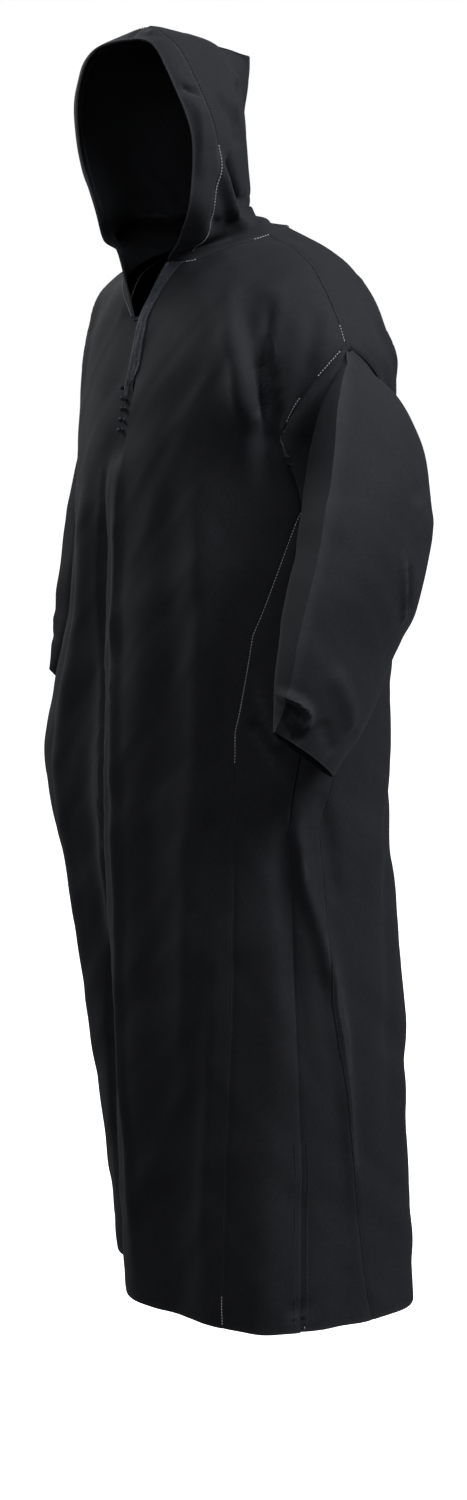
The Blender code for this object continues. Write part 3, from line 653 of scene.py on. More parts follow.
BODY_CREASES = [
    # The folds dragged from the left shoulder down to the armhole
    Crease(((0.150, -0.078, 1.500), (0.154, -0.103, 1.469), (0.179, -0.119, 1.421), (0.202, -0.124, 1.383),
            (0.208, -0.116, 1.344), (0.214, -0.089, 1.313), (0.228, -0.078, 1.281)), 0.014, 0.009),
    Crease(((0.193, -0.063, 1.489), (0.200, -0.089, 1.457), (0.206, -0.100, 1.421), (0.212, -0.104, 1.390)),
           0.010, 0.004),
    Crease(((0.201, -0.075, 1.473), (0.211, -0.095, 1.431), (0.218, -0.099, 1.369), (0.212, -0.091, 1.317),
            (0.228, -0.078, 1.282)), 0.011, -0.010),
    Crease(((0.199, -0.051, 1.491), (0.212, -0.082, 1.453), (0.222, -0.094, 1.417), (0.226, -0.096, 1.369),
            (0.228, -0.088, 1.330)), 0.010, 0.005),
    Crease(((0.233, -0.046, 1.460), (0.254, -0.066, 1.395), (0.240, -0.074, 1.344), (0.232, -0.077, 1.306)),
           0.010, -0.006),
    Crease(((0.243, -0.030, 1.455), (0.258, -0.048, 1.410)), 0.009, 0.003),
    # The folds dragged from the right shoulder
    Crease(((-58, 1.495), (-48, 1.460), (-44, 1.410), (-46, 1.360), (-56, 1.310), (-66, 1.265)),
           0.012, 0.006),
    Crease(((-67, 1.480), (-57, 1.430), (-55, 1.370), (-60, 1.315)), 0.009, -0.007),
    Crease(((-76, 1.488), (-66, 1.445), (-61, 1.400), (-62, 1.360)), 0.009, 0.005),
    Crease(((-82, 1.455), (-73, 1.395), (-68, 1.340)), 0.010, -0.006),
    # The fold that runs down from the end of the chest opening
    Crease(((-0.030, -0.158, 1.300), (-0.050, -0.159, 1.227), (-0.056, -0.160, 1.101),
            (-0.045, -0.170, 0.976), (-0.034, -0.178, 0.852), (-0.042, -0.168, 0.729),
            (-0.062, -0.152, 0.620), (-0.068, -0.141, 0.452), (-0.080, -0.128, 0.262)), 0.007, -0.009),
    Crease(((0.000, -0.162, 1.290), (-0.009, -0.163, 1.229), (-0.002, -0.173, 1.044), (0.009, -0.182, 0.920),
            (0.016, -0.186, 0.795), (0.023, -0.185, 0.592), (0.049, -0.188, 0.383), (0.070, -0.189, 0.243)),
           0.011, 0.007),
    # Soft folds of the left front
    Crease(((17, 1.330), (19, 1.200), (20, 1.000), (20, 0.750), (22, 0.480)), 0.026, -0.004),
    Crease(((31, 1.300), (34, 1.150), (34, 0.950), (34, 0.700), (35, 0.420)), 0.024, 0.008),
    Crease(((43, 1.120), (42, 0.980), (41, 0.820)), 0.018, -0.003),
    Crease(((44, 0.760), (45, 0.560), (46, 0.300)), 0.016, 0.004),
    # Pulls from the left pocket down to the hem
    Crease(((0.239, -0.082, 0.927), (0.249, -0.077, 0.867), (0.256, -0.073, 0.829), (0.262, -0.070, 0.787),
            (0.271, -0.058, 0.738), (0.278, -0.047, 0.690), (0.281, -0.037, 0.636), (0.283, -0.032, 0.589),
            (0.287, -0.023, 0.468), (0.293, -0.019, 0.407), (0.305, -0.016, 0.297)), 0.010, 0.010),
    Crease(((0.239, -0.086, 0.902), (0.243, -0.091, 0.820), (0.254, -0.091, 0.739), (0.266, -0.088, 0.657),
            (0.273, -0.083, 0.561)), 0.013, -0.006),
    Crease(((0.262, -0.050, 0.905), (0.268, -0.045, 0.840), (0.276, -0.036, 0.760)), 0.010, -0.005),
    Crease(((52, 1.040), (57, 0.985), (62, 0.945)), 0.008, 0.005),
    Crease(((50, 0.985), (56, 0.950), (62, 0.920)), 0.007, -0.005),
    # Pulls from the right pocket
    Crease(((-64, 0.940), (-69, 0.880), (-74, 0.830), (-80, 0.760), (-86, 0.660), (-91, 0.560)),
           0.011, 0.008),
    Crease(((-66, 0.900), (-75, 0.790), (-83, 0.660), (-90, 0.500)), 0.014, -0.005),
    Crease(((-50, 1.060), (-57, 1.000), (-63, 0.950)), 0.009, 0.005),
    # The right front
    Crease(((-18, 1.320), (-20, 1.150), (-20, 0.900), (-22, 0.600), (-24, 0.300)), 0.020, 0.006),
    Crease(((-29, 1.200), (-31, 1.000), (-31, 0.800), (-32, 0.500)), 0.022, -0.006),
    Crease(((-44, 1.000), (-45, 0.800), (-46, 0.550), (-47, 0.300)), 0.020, 0.005),
    # The upper back, and the long folds below it
    Crease(((0.160, 0.064, 1.498), (0.216, 0.049, 1.454), (0.223, 0.067, 1.417), (0.215, 0.090, 1.370)),
           0.010, 0.006),
    Crease(((112, 1.400), (118, 1.340), (128, 1.270), (138, 1.180)), 0.013, -0.006),
    Crease(((118, 1.360), (126, 1.280), (133, 1.200), (140, 1.100)), 0.013, 0.006),
    Crease(((-126, 1.490), (-119, 1.440), (-124, 1.380), (-132, 1.300)), 0.011, 0.005),
    Crease(((-113, 1.400), (-120, 1.330), (-130, 1.250), (-141, 1.150)), 0.013, -0.006),
    Crease(((-120, 1.350), (-128, 1.260), (-137, 1.160)), 0.013, 0.006),
    Crease(((175, 1.480), (172, 1.380), (174, 1.250), (170, 1.050)), 0.022, 0.004),
    Crease(((-165, 1.450), (-168, 1.300), (-166, 1.120)), 0.022, -0.004),
    Crease(((160, 1.180), (158, 0.950), (161, 0.700), (163, 0.400)), 0.020, 0.006),
    Crease(((150, 1.120), (147, 0.900), (150, 0.650), (151, 0.350)), 0.020, -0.006),
    Crease(((-176, 1.100), (-174, 0.850), (-176, 0.600), (-178, 0.300)), 0.020, 0.006),
    Crease(((-160, 1.080), (-158, 0.850), (-160, 0.550), (-162, 0.280)), 0.020, -0.006),
    Crease(((-142, 1.120), (-139, 0.900), (-142, 0.600), (-144, 0.280)), 0.020, 0.006),
    Crease(((135, 1.000), (133, 0.800), (136, 0.500)), 0.018, 0.005),
    Crease(((118, 0.900), (117, 0.700), (120, 0.420)), 0.018, -0.005),
    Crease(((-112, 0.930), (-110, 0.720), (-114, 0.450)), 0.018, 0.006),
]

LEFT_SLEEVE_CREASES = [
    Crease(((0.302, 0.100, 1.262), (0.330, 0.060, 1.250), (0.345, 0.020, 1.246)), 0.012, -0.008),
    Crease(((0.296, 0.100, 1.215), (0.326, 0.070, 1.205), (0.348, 0.030, 1.200)), 0.012, 0.005),
    Crease(((0.340, 0.004, 1.185), (0.336, 0.010, 1.155), (0.326, 0.018, 1.120), (0.312, 0.028, 1.095)),
           0.006, 0.004),
    Crease(((0.332, 0.016, 1.170), (0.326, 0.022, 1.140), (0.314, 0.030, 1.110)), 0.006, -0.004),
    # The cuff is bunched over the pocket
    Crease(((0.306, -0.143, 1.028), (0.330, -0.147, 1.030), (0.337, -0.137, 1.023), (0.340, -0.126, 1.014),
            (0.339, -0.121, 1.003), (0.334, -0.125, 0.994), (0.330, -0.134, 0.996)), 0.0055, 0.009),
    Crease(((0.327, -0.147, 1.020), (0.332, -0.140, 1.013), (0.335, -0.132, 1.005), (0.335, -0.128, 1.001)),
           0.0050, -0.008),
    Crease(((0.331, -0.146, 1.012), (0.327, -0.141, 1.000), (0.326, -0.135, 0.986), (0.328, -0.126, 0.972)),
           0.007, -0.006),
    Crease(((0.345, -0.100, 1.060), (0.348, -0.080, 1.030), (0.342, -0.060, 1.000), (0.332, -0.050, 0.975)),
           0.012, 0.005),
    Crease(((0.340, -0.108, 1.000), (0.338, -0.094, 0.975), (0.328, -0.080, 0.955)), 0.010, -0.003),
    Crease(((0.300, -0.050, 1.370), (0.302, -0.060, 1.320), (0.296, -0.070, 1.270)), 0.010, 0.004),
]
RIGHT_SLEEVE_CREASES = [
    Crease(((-0.305, 0.100, 1.262), (-0.340, 0.060, 1.250), (-0.352, 0.010, 1.246)), 0.012, -0.008),
    Crease(((-0.305, 0.100, 1.210), (-0.345, 0.060, 1.195), (-0.356, 0.010, 1.190)), 0.012, 0.006),
    Crease(((-0.340, 0.060, 1.140), (-0.350, 0.040, 1.090), (-0.344, 0.020, 1.040)), 0.009, -0.006),
    Crease(((-0.320, -0.090, 1.060), (-0.335, -0.070, 1.040), (-0.345, -0.040, 1.010)), 0.008, 0.008),
    Crease(((-0.318, -0.092, 1.035), (-0.332, -0.070, 1.015), (-0.340, -0.040, 0.985)), 0.007, -0.008),
]
HOOD_CREASES = [
    # From the band down into the roll at the back of the neck, on each side
    Crease(((0.116, -0.098, 1.640), (0.112, -0.092, 1.608), (0.103, -0.080, 1.588), (0.091, -0.066, 1.573),
            (0.080, -0.044, 1.561), (0.076, -0.020, 1.562)), 0.008, 0.013),
    Crease(((0.106, -0.078, 1.635), (0.098, -0.069, 1.608), (0.086, -0.054, 1.590), (0.074, -0.034, 1.582),
            (0.060, -0.014, 1.592)), 0.007, -0.016),
    # The cowl roll round the back of the neck
    Crease(((0.106, -0.056, 1.540), (0.094, -0.016, 1.549), (0.070, 0.008, 1.561), (0.030, 0.024, 1.570),
            (-0.020, 0.024, 1.572), (-0.062, 0.008, 1.563), (-0.092, -0.030, 1.548)), 0.018, 0.013),
    Crease(((0.108, -0.118, 1.590), (0.097, -0.098, 1.562), (0.088, -0.074, 1.548)), 0.008, -0.005),
    Crease(((-0.070, -0.130, 1.640), (-0.078, -0.098, 1.610), (-0.080, -0.066, 1.582),
            (-0.074, -0.034, 1.566)), 0.008, 0.009),
    Crease(((-0.076, -0.090, 1.640), (-0.080, -0.066, 1.612), (-0.074, -0.034, 1.588)), 0.009, -0.010),
    # Facets at the back of the hood
    Crease(((0.030, 0.010, 1.740), (0.061, -0.044, 1.722), (0.078, -0.052, 1.700), (0.080, -0.046, 1.668)),
           0.008, 0.005),
    Crease(((0.100, -0.080, 1.700), (0.086, -0.062, 1.672), (0.084, -0.052, 1.640)), 0.012, -0.004),
    Crease(((-0.040, -0.010, 1.735), (-0.066, -0.050, 1.700), (-0.068, -0.052, 1.660)), 0.009, 0.005),
    # Dents and bulges of the hood's front band
    Crease(((0.098, -0.140, 1.706), (0.105, -0.127, 1.701), (0.106, -0.112, 1.700)), 0.005, -0.006),
    Crease(((0.107, -0.121, 1.692), (0.115, -0.119, 1.668), (0.118, -0.120, 1.635), (0.116, -0.125, 1.601)),
           0.007, 0.004),
    Crease(((0.028, -0.168, 1.768), (0.020, -0.150, 1.780), (0.016, -0.130, 1.786)), 0.005, -0.006),
    Crease(((0.046, -0.150, 1.770), (0.040, -0.136, 1.778), (0.034, -0.120, 1.782)), 0.006, 0.003),
]


class Wave(NamedTuple):
    """A broad wave of the cloth."""
    length: float
    height: float
    direction: tuple
    start: float


WAVES = [
    Wave(0.190, 0.0011, (0.80, 0.55, 0.30), 0.4),
    Wave(0.140, 0.0009, (0.70, -0.60, 0.45), 2.1),
    Wave(0.110, 0.0007, (-0.45, 0.50, 0.75), 4.0),
    Wave(0.083, 0.0005, (0.90, 0.20, -0.50), 1.2),
    Wave(0.061, 0.0003, (0.30, 0.85, 0.60), 5.3),
    Wave(0.043, 0.0002, (-0.80, 0.40, 0.65), 3.3),
]


def crease_path(crease):
    """Points along a crease as (x, y, height)."""
    path = np.array(crease.path, dtype=float)
    fine = spline(path, np.linspace(0, len(path) - 1, CREASE_STEPS * len(path)))
    if path.shape[1] == 3:
        return fine
    levels = np.linspace(HEM, NECK, CREASE_LEVELS)
    points = []
    for angle, height in fine:
        line = body_point(np.full(len(levels), angle), levels)
        points.append([np.interp(height, line[:, 2], line[:, k]) for k in range(3)])
    return np.array(points)


def crease_lift(points, creases):
    """How far the creases move cloth out at the given points."""
    flat = points.reshape(-1, 3)
    lift = np.zeros(len(flat))
    for crease in creases:
        line = crease_path(crease)
        low = line.min(axis=0) - CREASE_NEAR * crease.width
        high = line.max(axis=0) + CREASE_NEAR * crease.width
        near = np.where(np.all((flat > low) & (flat < high), axis=1))[0]
        if not len(near):
            continue
        best = np.full(len(near), np.inf)
        share = np.zeros(len(near))
        cloth = flat[near]
        for number in range(len(line) - 1):
            step = line[number + 1] - line[number]
            reach = CREASE_REACH * crease.width
            stretch_low = np.minimum(line[number], line[number + 1]) - reach
            stretch_high = np.maximum(line[number], line[number + 1]) + reach
            chosen = np.where(np.all((cloth > stretch_low) & (cloth < stretch_high), axis=1))[0]
            away = cloth[chosen] - line[number]
            part = np.clip(away @ step / (step @ step), 0, 1)
            distance = np.linalg.norm(away - part[:, None] * step, axis=1)
            closer = distance < best[chosen]
            nearer = chosen[closer]
            best[nearer] = distance[closer]
            share[nearer] = (number + part[closer]) / (len(line) - 1)
        ends = smooth(share / CREASE_ENDS) * smooth((1 - share) / CREASE_ENDS)
        lift[near] += crease.depth * np.exp(-((best / crease.width) ** 2)) * ends
    return (lift + unevenness(flat)).reshape(points.shape[:-1])


def unevenness(points):
    """Small broad waves that no ironed cloth is free of."""
    total = np.zeros(len(points))
    for wave in WAVES:
        phase = points @ (2 * math.pi * np.array(wave.direction) / wave.length) + wave.start
        total += wave.height * np.sin(phase + WAVE_WANDER * np.sin(WAVE_WANDER_RATE * phase + wave.start))
    return total


def edge_shares(columns, ends):
    """Shares across a sheet, closer together at its two edges."""
    inner = np.linspace(0.0, 1.0, columns + 1)[1:-1]
    return np.concatenate([[0.0], ends, inner, 1.0 - np.array(ends[::-1]), [1.0]])


# Cloth

def wall_mesh(outer, inner, uv, closed=False):
    """A mesh of a closed wall between two grids of points, with its UV map in metres."""
    rows, columns = outer.shape[:2]
    count = rows * columns
    spans = columns if closed else columns - 1
    points = place(np.concatenate([outer.reshape(-1, 3), inner.reshape(-1, 3)]))
    row, column = np.meshgrid(np.arange(rows - 1), np.arange(spans), indexing="ij")
    a = (row * columns + column).ravel()
    b = (row * columns + (column + 1) % columns).ravel()
    up = columns
    faces = [np.stack([a, b, b + up, a + up], axis=1),
             np.stack([a + up, b + up, b, a], axis=1) + count]
    c = np.arange(spans)
    d = (c + 1) % columns
    top = (rows - 1) * columns
    faces.append(np.stack([c + count, d + count, d, c], axis=1))
    faces.append(np.stack([top + c, top + d, top + d + count, top + c + count], axis=1))
    if not closed:
        r = np.arange(rows - 1) * columns
        faces.append(np.stack([r, r + up, r + up + count, r + count], axis=1))
        e = r + columns - 1
        faces.append(np.stack([e + count, e + up + count, e + up, e], axis=1))
    uv = np.concatenate([uv.reshape(-1, 2), uv.reshape(-1, 2)])
    return points, np.concatenate(faces), uv


def add_piece(name, points, faces, uv, material, slot):
    """A mesh piece on the root body."""
    mesh = bpy.data.meshes.new(name)
    mesh.from_pydata([tuple(p) for p in points], [], [tuple(int(n) for n in f) for f in faces])
    layer = mesh.uv_layers.new(name="cut")
    loops = np.zeros(len(mesh.loops), dtype=np.int32)
    mesh.loops.foreach_get("vertex_index", loops)
    layer.data.foreach_set("uv", uv[loops].ravel().astype(np.float32))
    mesh.validate()
    mesh.materials.append(material)
    piece = bpy.data.objects.new(name, mesh)
    bpy.context.scene.collection.objects.link(piece)
    select_only(piece)
    bpy.ops.object.mode_set(mode="EDIT")
    bpy.ops.mesh.select_all(action="SELECT")
    bpy.ops.mesh.normals_make_consistent(inside=False)
    bpy.ops.object.mode_set(mode="OBJECT")
    bpy.ops.object.shade_smooth_by_angle(angle=SHARP_ANGLE)
    mark_wear(mesh)
    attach(piece, "root")
    return piece


def mark_wear(mesh):
    """Writes how much each point is rubbed: wholly on the sharp edges and partly just beside them."""
    edges = np.zeros(2 * len(mesh.edges), dtype=np.int32)
    mesh.edges.foreach_get("vertices", edges)
    edges = edges.reshape(-1, 2)
    worn = np.zeros(len(mesh.vertices), dtype=np.float32)
    sharp = mesh.attributes.get("sharp_edge")
    if sharp is not None:
        marks = np.zeros(len(mesh.edges), dtype=bool)
        sharp.data.foreach_get("value", marks)
        worn[edges[marks].ravel()] = 1.0
        beside = np.maximum(worn[edges[:, 0]], worn[edges[:, 1]]) * WEAR_BESIDE
        np.maximum.at(worn, edges.ravel(), np.repeat(beside, 2))
    mesh.attributes.new("wear", "FLOAT", "POINT").data.foreach_set("value", worn)


def select_only(piece):
    """Makes one piece the only selected and the active one."""
    bpy.ops.object.select_all(action="DESELECT")
    piece.select_set(True)
    bpy.context.view_layer.objects.active = piece


def cut_lengths(grid):
    """UV of a sheet in metres: across and up, measured on the cloth."""
    across = np.linalg.norm(np.diff(grid, axis=1), axis=2)
    up = np.linalg.norm(np.diff(grid, axis=0), axis=2)
    u = np.concatenate([np.zeros((grid.shape[0], 1)), np.cumsum(across, axis=1)], axis=1)
    u = u - u[:, u.shape[1] // 2][:, None]
    v = np.concatenate([np.zeros((1, grid.shape[1])), np.cumsum(up, axis=0)], axis=0)
    return np.stack([u, v], axis=-1)


def normals_of(grid, like):
    """Normals of a grid, on the side of the given rough normals."""
    across = np.gradient(grid, axis=1)
    up = np.gradient(grid, axis=0)
    normal = np.cross(across, up)
    normal = normal / np.maximum(np.linalg.norm(normal, axis=-1, keepdims=True), 1e-12)
    side = np.sign(np.sum(normal * like, axis=-1, keepdims=True))
    return normal * np.where(side == 0, 1, side)


def roll_in(shares, width, left=True, right=True):
    """How far a sheet's edges roll in at its seams, for shares across it."""
    drop = np.zeros_like(shares)
    for rolled, away in ((left, shares), (right, 1.0 - shares)):
        if rolled:
            drop = drop + np.exp(-((away * width / SEAM_ROLL_WIDTH) ** 2))
    return -SEAM_ROLL * drop


def body_sheet(angles, rows, drop):
    """Outer and inner points of a sheet of the body, with its creases and rolled edges."""
    grid_rows = np.repeat(rows[:, None], angles.shape[1], axis=1)
    point, normal, _, _ = body_frame(angles, grid_rows)
    lift = crease_lift(point, BODY_CREASES) + drop
    outer = point + normal * lift[..., None]
    finer = normals_of(outer, normal)
    above_hem = outer[..., 2] - outer[:1, :, 2]
    thickness = CLOTH + HEM_EXTRA * (1.0 - smooth((above_hem - HEM_DEPTH) / HEM_STEP))
    return outer, outer - finer * thickness[..., None]


def declare(node):
    """Hides the frame's solid that a sheet replaces."""
    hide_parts(node)


def front_panel(cloth):
    """One sheet from the right seam to the left one, cut down the middle as far as the chest opening."""
    rows = body_rows(HEM, NECK)
    edge = seam_angle("front", rows)
    gap = seam_gap_at(edge, rows)
    middle = seam_angle("opening", rows)
    shares = edge_shares(HALF_PANEL_COLUMNS, PANEL_EDGES)
    left_edge = np.maximum(middle, 0) + 2 * EDGE_ANGLE
    left = left_edge[:, None] + (edge - gap - left_edge)[:, None] * shares
    right_edge = middle - 2 * EDGE_ANGLE
    right = (-edge + gap)[:, None] + (right_edge + edge - gap)[:, None] * shares
    height = body_point(middle + 2 * EDGE_ANGLE, rows)[:, 2]
    left_outer, left_inner = body_sheet(left, rows, roll_in(shares, HALF_FRONT_WIDTH, left=False))
    right_outer, right_inner = body_sheet(right, rows, roll_in(shares, HALF_FRONT_WIDTH, right=False))
    shift = opening_tuck(right, np.repeat(rows[:, None], right.shape[1], axis=1))
    right_outer += shift
    right_inner += shift
    joined = rows_closed(height)
    for right_side, left_side in ((right_outer, left_outer), (right_inner, left_inner)):
        meeting = 0.5 * (right_side[:joined, -1] + left_side[:joined, 0])
        right_side[:joined, -1] = meeting
        left_side[:joined, 0] = meeting
    whole = np.concatenate([right_outer, left_outer], axis=1)
    uv = cut_lengths(whole)
    columns = len(shares)
    right_mesh = wall_mesh(right_outer, right_inner, uv[:, :columns])
    left_mesh = wall_mesh(left_outer, left_inner, uv[:, columns:])
    offset = len(right_mesh[0])
    count = len(rows) * columns
    # Below the opening the two halves share the points of their meeting line.
    same = {}
    for row in range(joined):
        for side in (0, 1):
            same[offset + side * count + row * columns] = side * count + row * columns + columns - 1
    shared = set(same.values())
    faces = []
    for face in list(right_mesh[1]) + [f + offset for f in left_mesh[1]]:
        face = [same.get(int(n), int(n)) for n in face]
        if not all(n in shared for n in face):
            faces.append(face)
    points = np.concatenate([right_mesh[0], left_mesh[0]])
    uvs = np.concatenate([right_mesh[2], left_mesh[2]])
    points, faces, uvs = used_only(points, faces, uvs)
    piece = add_piece("front_cloth", points, faces, uvs, cloth, "black_twill")
    declare("front_panel")


def used_only(points, faces, uv):
    """Leaves out points that no face uses."""
    used = sorted({n for face in faces for n in face})
    renumber = {old: new for new, old in enumerate(used)}
    return points[used], [[renumber[n] for n in face] for face in faces], uv[used]


def back_panel(cloth):
    """One sheet round the back from seam to seam."""
    rows = body_rows(HEM, NECK)
    edge = seam_angle("back", rows)
    gap = seam_gap_at(edge, rows)
    shares = edge_shares(2 * HALF_PANEL_COLUMNS, PANEL_EDGES)
    angles = (edge + gap)[:, None] + (360.0 - 2 * (edge + gap))[:, None] * shares
    outer, inner = body_sheet(wrap(angles), rows, roll_in(shares, BACK_WIDTH))
    piece = add_piece("back_cloth", *wall_mesh(outer, inner, cut_lengths(outer)), cloth, "black_twill")
    declare("back_panel")


def gore(side, word, front_half, cloth):
    """Half of a side gore, between the side seam and the front or back panel, puckered along its slit."""
    rows = body_rows(HEM, ARMPIT)
    seam = seam_angle("side", rows)
    opened = side_opening(rows)
    speed = np.linalg.norm(body_frame(side * seam, rows)[2], axis=-1)
    open_gap = (0.5 * SEAM_GAP + SLIT_SHOWS * opened) / speed
    other = seam_angle("front" if front_half else "back", rows)
    gap = seam_gap_at(side * other, rows)
    shares = edge_shares(GORE_COLUMNS, GORE_EDGES)
    low, high = (other + gap, seam - open_gap) if front_half else (seam + open_gap, other - gap)
    angles = low[:, None] + (high - low)[:, None] * shares
    height = side_row_heights(rows)[:, None]
    from_slit = (1.0 - shares if front_half else shares) * GORE_WIDTH
    wander = PUCKER_WANDER * np.sin(PUCKER_WANDER_RATE * height)
    puckers = PUCKER_HEIGHT * np.sin(2 * math.pi * height / PUCKER_PITCH + wander)
    puckers = puckers * np.exp(-(((from_slit - PUCKER_ASIDE) / PUCKER_REACH) ** 2))
    drop = roll_in(shares, GORE_WIDTH) + puckers * smooth((SLIT_TOP_HEIGHT - height) / PUCKER_FADE)
    if not front_half:
        tucked = np.clip(opened / SLIT_OPEN, 0, 1)[:, None] * np.exp(-((from_slit / SLIT_TUCK_WIDTH) ** 2))
        angles = angles - tucked * (SLIT_UNDER / speed)[:, None]
        drop = drop - SLIT_TUCK * tucked
    outer, inner = body_sheet(side * angles, rows, drop)
    half = ("front_" if front_half else "back_") + word
    mesh = wall_mesh(outer, inner, cut_lengths(outer))
    piece = add_piece("gore_cloth_" + half, *mesh, cloth, "black_twill")
    declare("gore_" + half)


def sleeve(side, word, rings, creases, cloth):
    """A sleeve from the armhole to the cuff: a closed tube through its rings."""
    loop, body_normal, away = armhole(side)
    half = len(body_rows(ARMPIT, TIP)) - 1 + GORE_COLUMNS
    first, second = loop_shares(loop, half)
    low = np.sin(0.5 * np.pi * np.concatenate([first, second[1:]]))[:, None] ** UNDERARM_SHARPNESS
    turned_out = loop + away * (SEAM_GAP + SHOULDER_STEP * (1.0 - low)) + body_normal * (UNDERARM_STEP * low)
    stations = [loop + away * SEAM_GAP, turned_out]
    middles = [np.mean(loop, axis=0)] + [(np.array(r.crease) + np.array(r.underarm)) / 2 for r in rings]
    for number, ring in enumerate(rings):
        after = middles[min(number + 2, len(middles) - 1)]
        axis = after - middles[number]
        axis = axis / np.linalg.norm(axis) * side
        inner_face = ring_point(ring, first, False, axis)
        outer_face = ring_point(ring, second, True, axis)
        stations.append(np.concatenate([inner_face, outer_face[1:]]))
    levels = np.linspace(0.0, len(stations) - 1, SLEEVE_RINGS + 1)
    grid = spline(np.stack(stations), levels)
    clearance = SLEEVE_CLEARANCE * np.clip(SLEEVE_CLEARANCE_RISE * levels[1:], 0.0, 1.0)
    free = clear_of_body(grid[1:].reshape(-1, 3), np.repeat(clearance, grid.shape[1]))
    grid[1:] = free.reshape(grid[1:].shape)
    around = np.roll(grid, -1, axis=1) - np.roll(grid, 1, axis=1)
    normal = np.cross(around, np.gradient(grid, axis=0)) * side
    normal = normal / np.linalg.norm(normal, axis=-1, keepdims=True)
    fade = smooth(levels)[:, None, None]
    normal = normal * fade + body_normal * (1 - fade)
    normal = normal / np.linalg.norm(normal, axis=-1, keepdims=True)
    hold = 1 - smooth(levels / SLEEVE_HOLD_ROWS)[:, None]
    lift = crease_lift(grid, BODY_CREASES) * hold + crease_lift(grid, creases) * (1 - hold)
    lift = lift - SEAM_ROLL * np.exp(-((levels / SLEEVE_ROLL_ROWS) ** 2))[:, None]
    grid = grid + normal * lift[..., None]
    mesh = wall_mesh(grid, grid - normal * CLOTH, cut_lengths(grid), closed=True)
    piece = add_piece("sleeve_cloth_" + word, *mesh, cloth, "black_twill")
    declare("sleeve_" + word)


def hood(cloth):
    """The hood as one sheet: down to the neck on the right, over the top and down on the left."""
    halves = []
    shares = edge_shares(2 * HALF_PANEL_COLUMNS, HOOD_EDGES)
    neck_angles = [2 * EDGE_ANGLE, SHOULDER_ANGLE, 180.0 - 2 * EDGE_ANGLE]
    angles = np.interp(shares, [0.0, 0.5, 1.0], neck_angles)
    position = np.interp(np.linspace(0, 1, HOOD_DOWN + 1),
                         [row.along for row in HOOD_ROWS] + [1.0], np.arange(len(HOOD_ROWS) + 1))
    groove = -HOOD_SEAM_DEPTH * np.exp(-(((shares - HOOD_SEAM_SHARE) / HOOD_SEAM_HALF) ** 2))
    for side in (1, -1):
        neck, normal, _, up = body_frame(side * angles, np.full(len(angles), float(NECK)))
        up = up / np.linalg.norm(up, axis=-1, keepdims=True)
        lift = crease_lift(neck, BODY_CREASES)
        rows = hood_half(side, neck + normal * lift[:, None], up, shares)
        halves.append((spline(rows, position), normal))
    (left, left_normal), (right, right_normal) = halves
    grid = np.concatenate([right[::-1], left[1:]])
    normal = np.cross(np.gradient(grid, axis=0), np.gradient(grid, axis=1))
    normal = normal / np.maximum(np.linalg.norm(normal, axis=-1, keepdims=True), 1e-12)
    normal[0] = right_normal
    normal[-1] = left_normal
    down = np.abs(np.linspace(-1, 1, len(grid)))[:, None]
    hold = 1 - smooth((down - HOOD_HOLD_FROM) / HOOD_HOLD_OVER)
    lift = (crease_lift(grid, HOOD_CREASES) + groove) * hold
    grid = grid + normal * lift[..., None]
    mesh = wall_mesh(grid, grid - normal * CLOTH, cut_lengths(grid))
    piece = add_piece("hood_cloth", *mesh, cloth, "black_twill")
    declare("hood")
    return grid, normal


# Sewing

def reshape(item, move):
    """Moves each point of a new primitive in edit mode."""
    bpy.ops.object.mode_set(mode="EDIT")
    shape = bmesh.from_edit_mesh(item.data)
    for vertex in shape.verts:
        move(vertex)
    bmesh.update_edit_mesh(item.data)
    bpy.ops.object.mode_set(mode="OBJECT")


def arch_stitch(vertex):
    """Raises the middle of a stitch off the cloth and tapers its ends."""
    reach = 2 * vertex.co.z
    vertex.co.x += STITCH_ARCH * (1 - reach * reach)
    vertex.co.y *= 1.0 - STITCH_TAPER * reach ** 4


def stitch_shape():
    """One raised stitch, one metre long and one thick: its points and faces."""
    bpy.ops.object.select_all(action="DESELECT")
    bpy.ops.mesh.primitive_uv_sphere_add(segments=6, ring_count=6, radius=0.5)
    item = bpy.context.object
    reshape(item, arch_stitch)
    points = np.array([v.co[:] for v in item.data.vertices])
    faces = [list(f.vertices) for f in item.data.polygons]
    bpy.data.objects.remove(item, do_unlink=True)
    return points, faces


def stitch_rows(name, paths, material, slot):
    """Copies of the stitch along paths; each path is points on the cloth and the outward normals there."""
    model, model_faces = stitch_shape()
    points = []
    faces = []
    for path, normals in paths:
        run = np.concatenate([[0], np.cumsum(np.linalg.norm(np.diff(path, axis=0), axis=1))])
        starts = np.arange(0.0, run[-1] - STITCH_LENGTH, STITCH_LENGTH + STITCH_GAP)
        for start in starts:
            ends = np.array([start, start + STITCH_LENGTH])
            low, high = np.stack([np.interp(ends, run, path[:, k]) for k in range(3)], axis=1)
            out = np.array([np.interp(ends[0], run, normals[:, k]) for k in range(3)])
            ahead = high - low
            ahead = ahead / np.linalg.norm(ahead)
            aside = np.cross(ahead, out)
            aside = aside / np.linalg.norm(aside)
            out = np.cross(aside, ahead)
            faces += [[n + len(points) * len(model) for n in face] for face in model_faces]
            points.append(0.5 * (low + high) + STITCH_LENGTH * model[:, 2:] * ahead
                          + 2 * THREAD_RADIUS * (model[:, :1] * out + model[:, 1:2] * aside))
    points = place(np.concatenate(points))
    return add_piece(name, points, faces, np.zeros((len(points), 2)), material, slot)


def on_body(angles, rows, drop):
    """Points on the finished cloth of the body, and its normals."""
    point, normal, _, _ = body_frame(np.asarray(angles, dtype=float), np.asarray(rows, dtype=float))
    lift = crease_lift(point, BODY_CREASES) + drop
    return point + normal * lift[:, None], normal


class SeamRun(NamedTuple):
    """Stitches beside a cut line of the body, between two row numbers; aside is away from the front."""
    light: bool
    seam: str
    low: float
    high: float
    aside: float
    lift: float
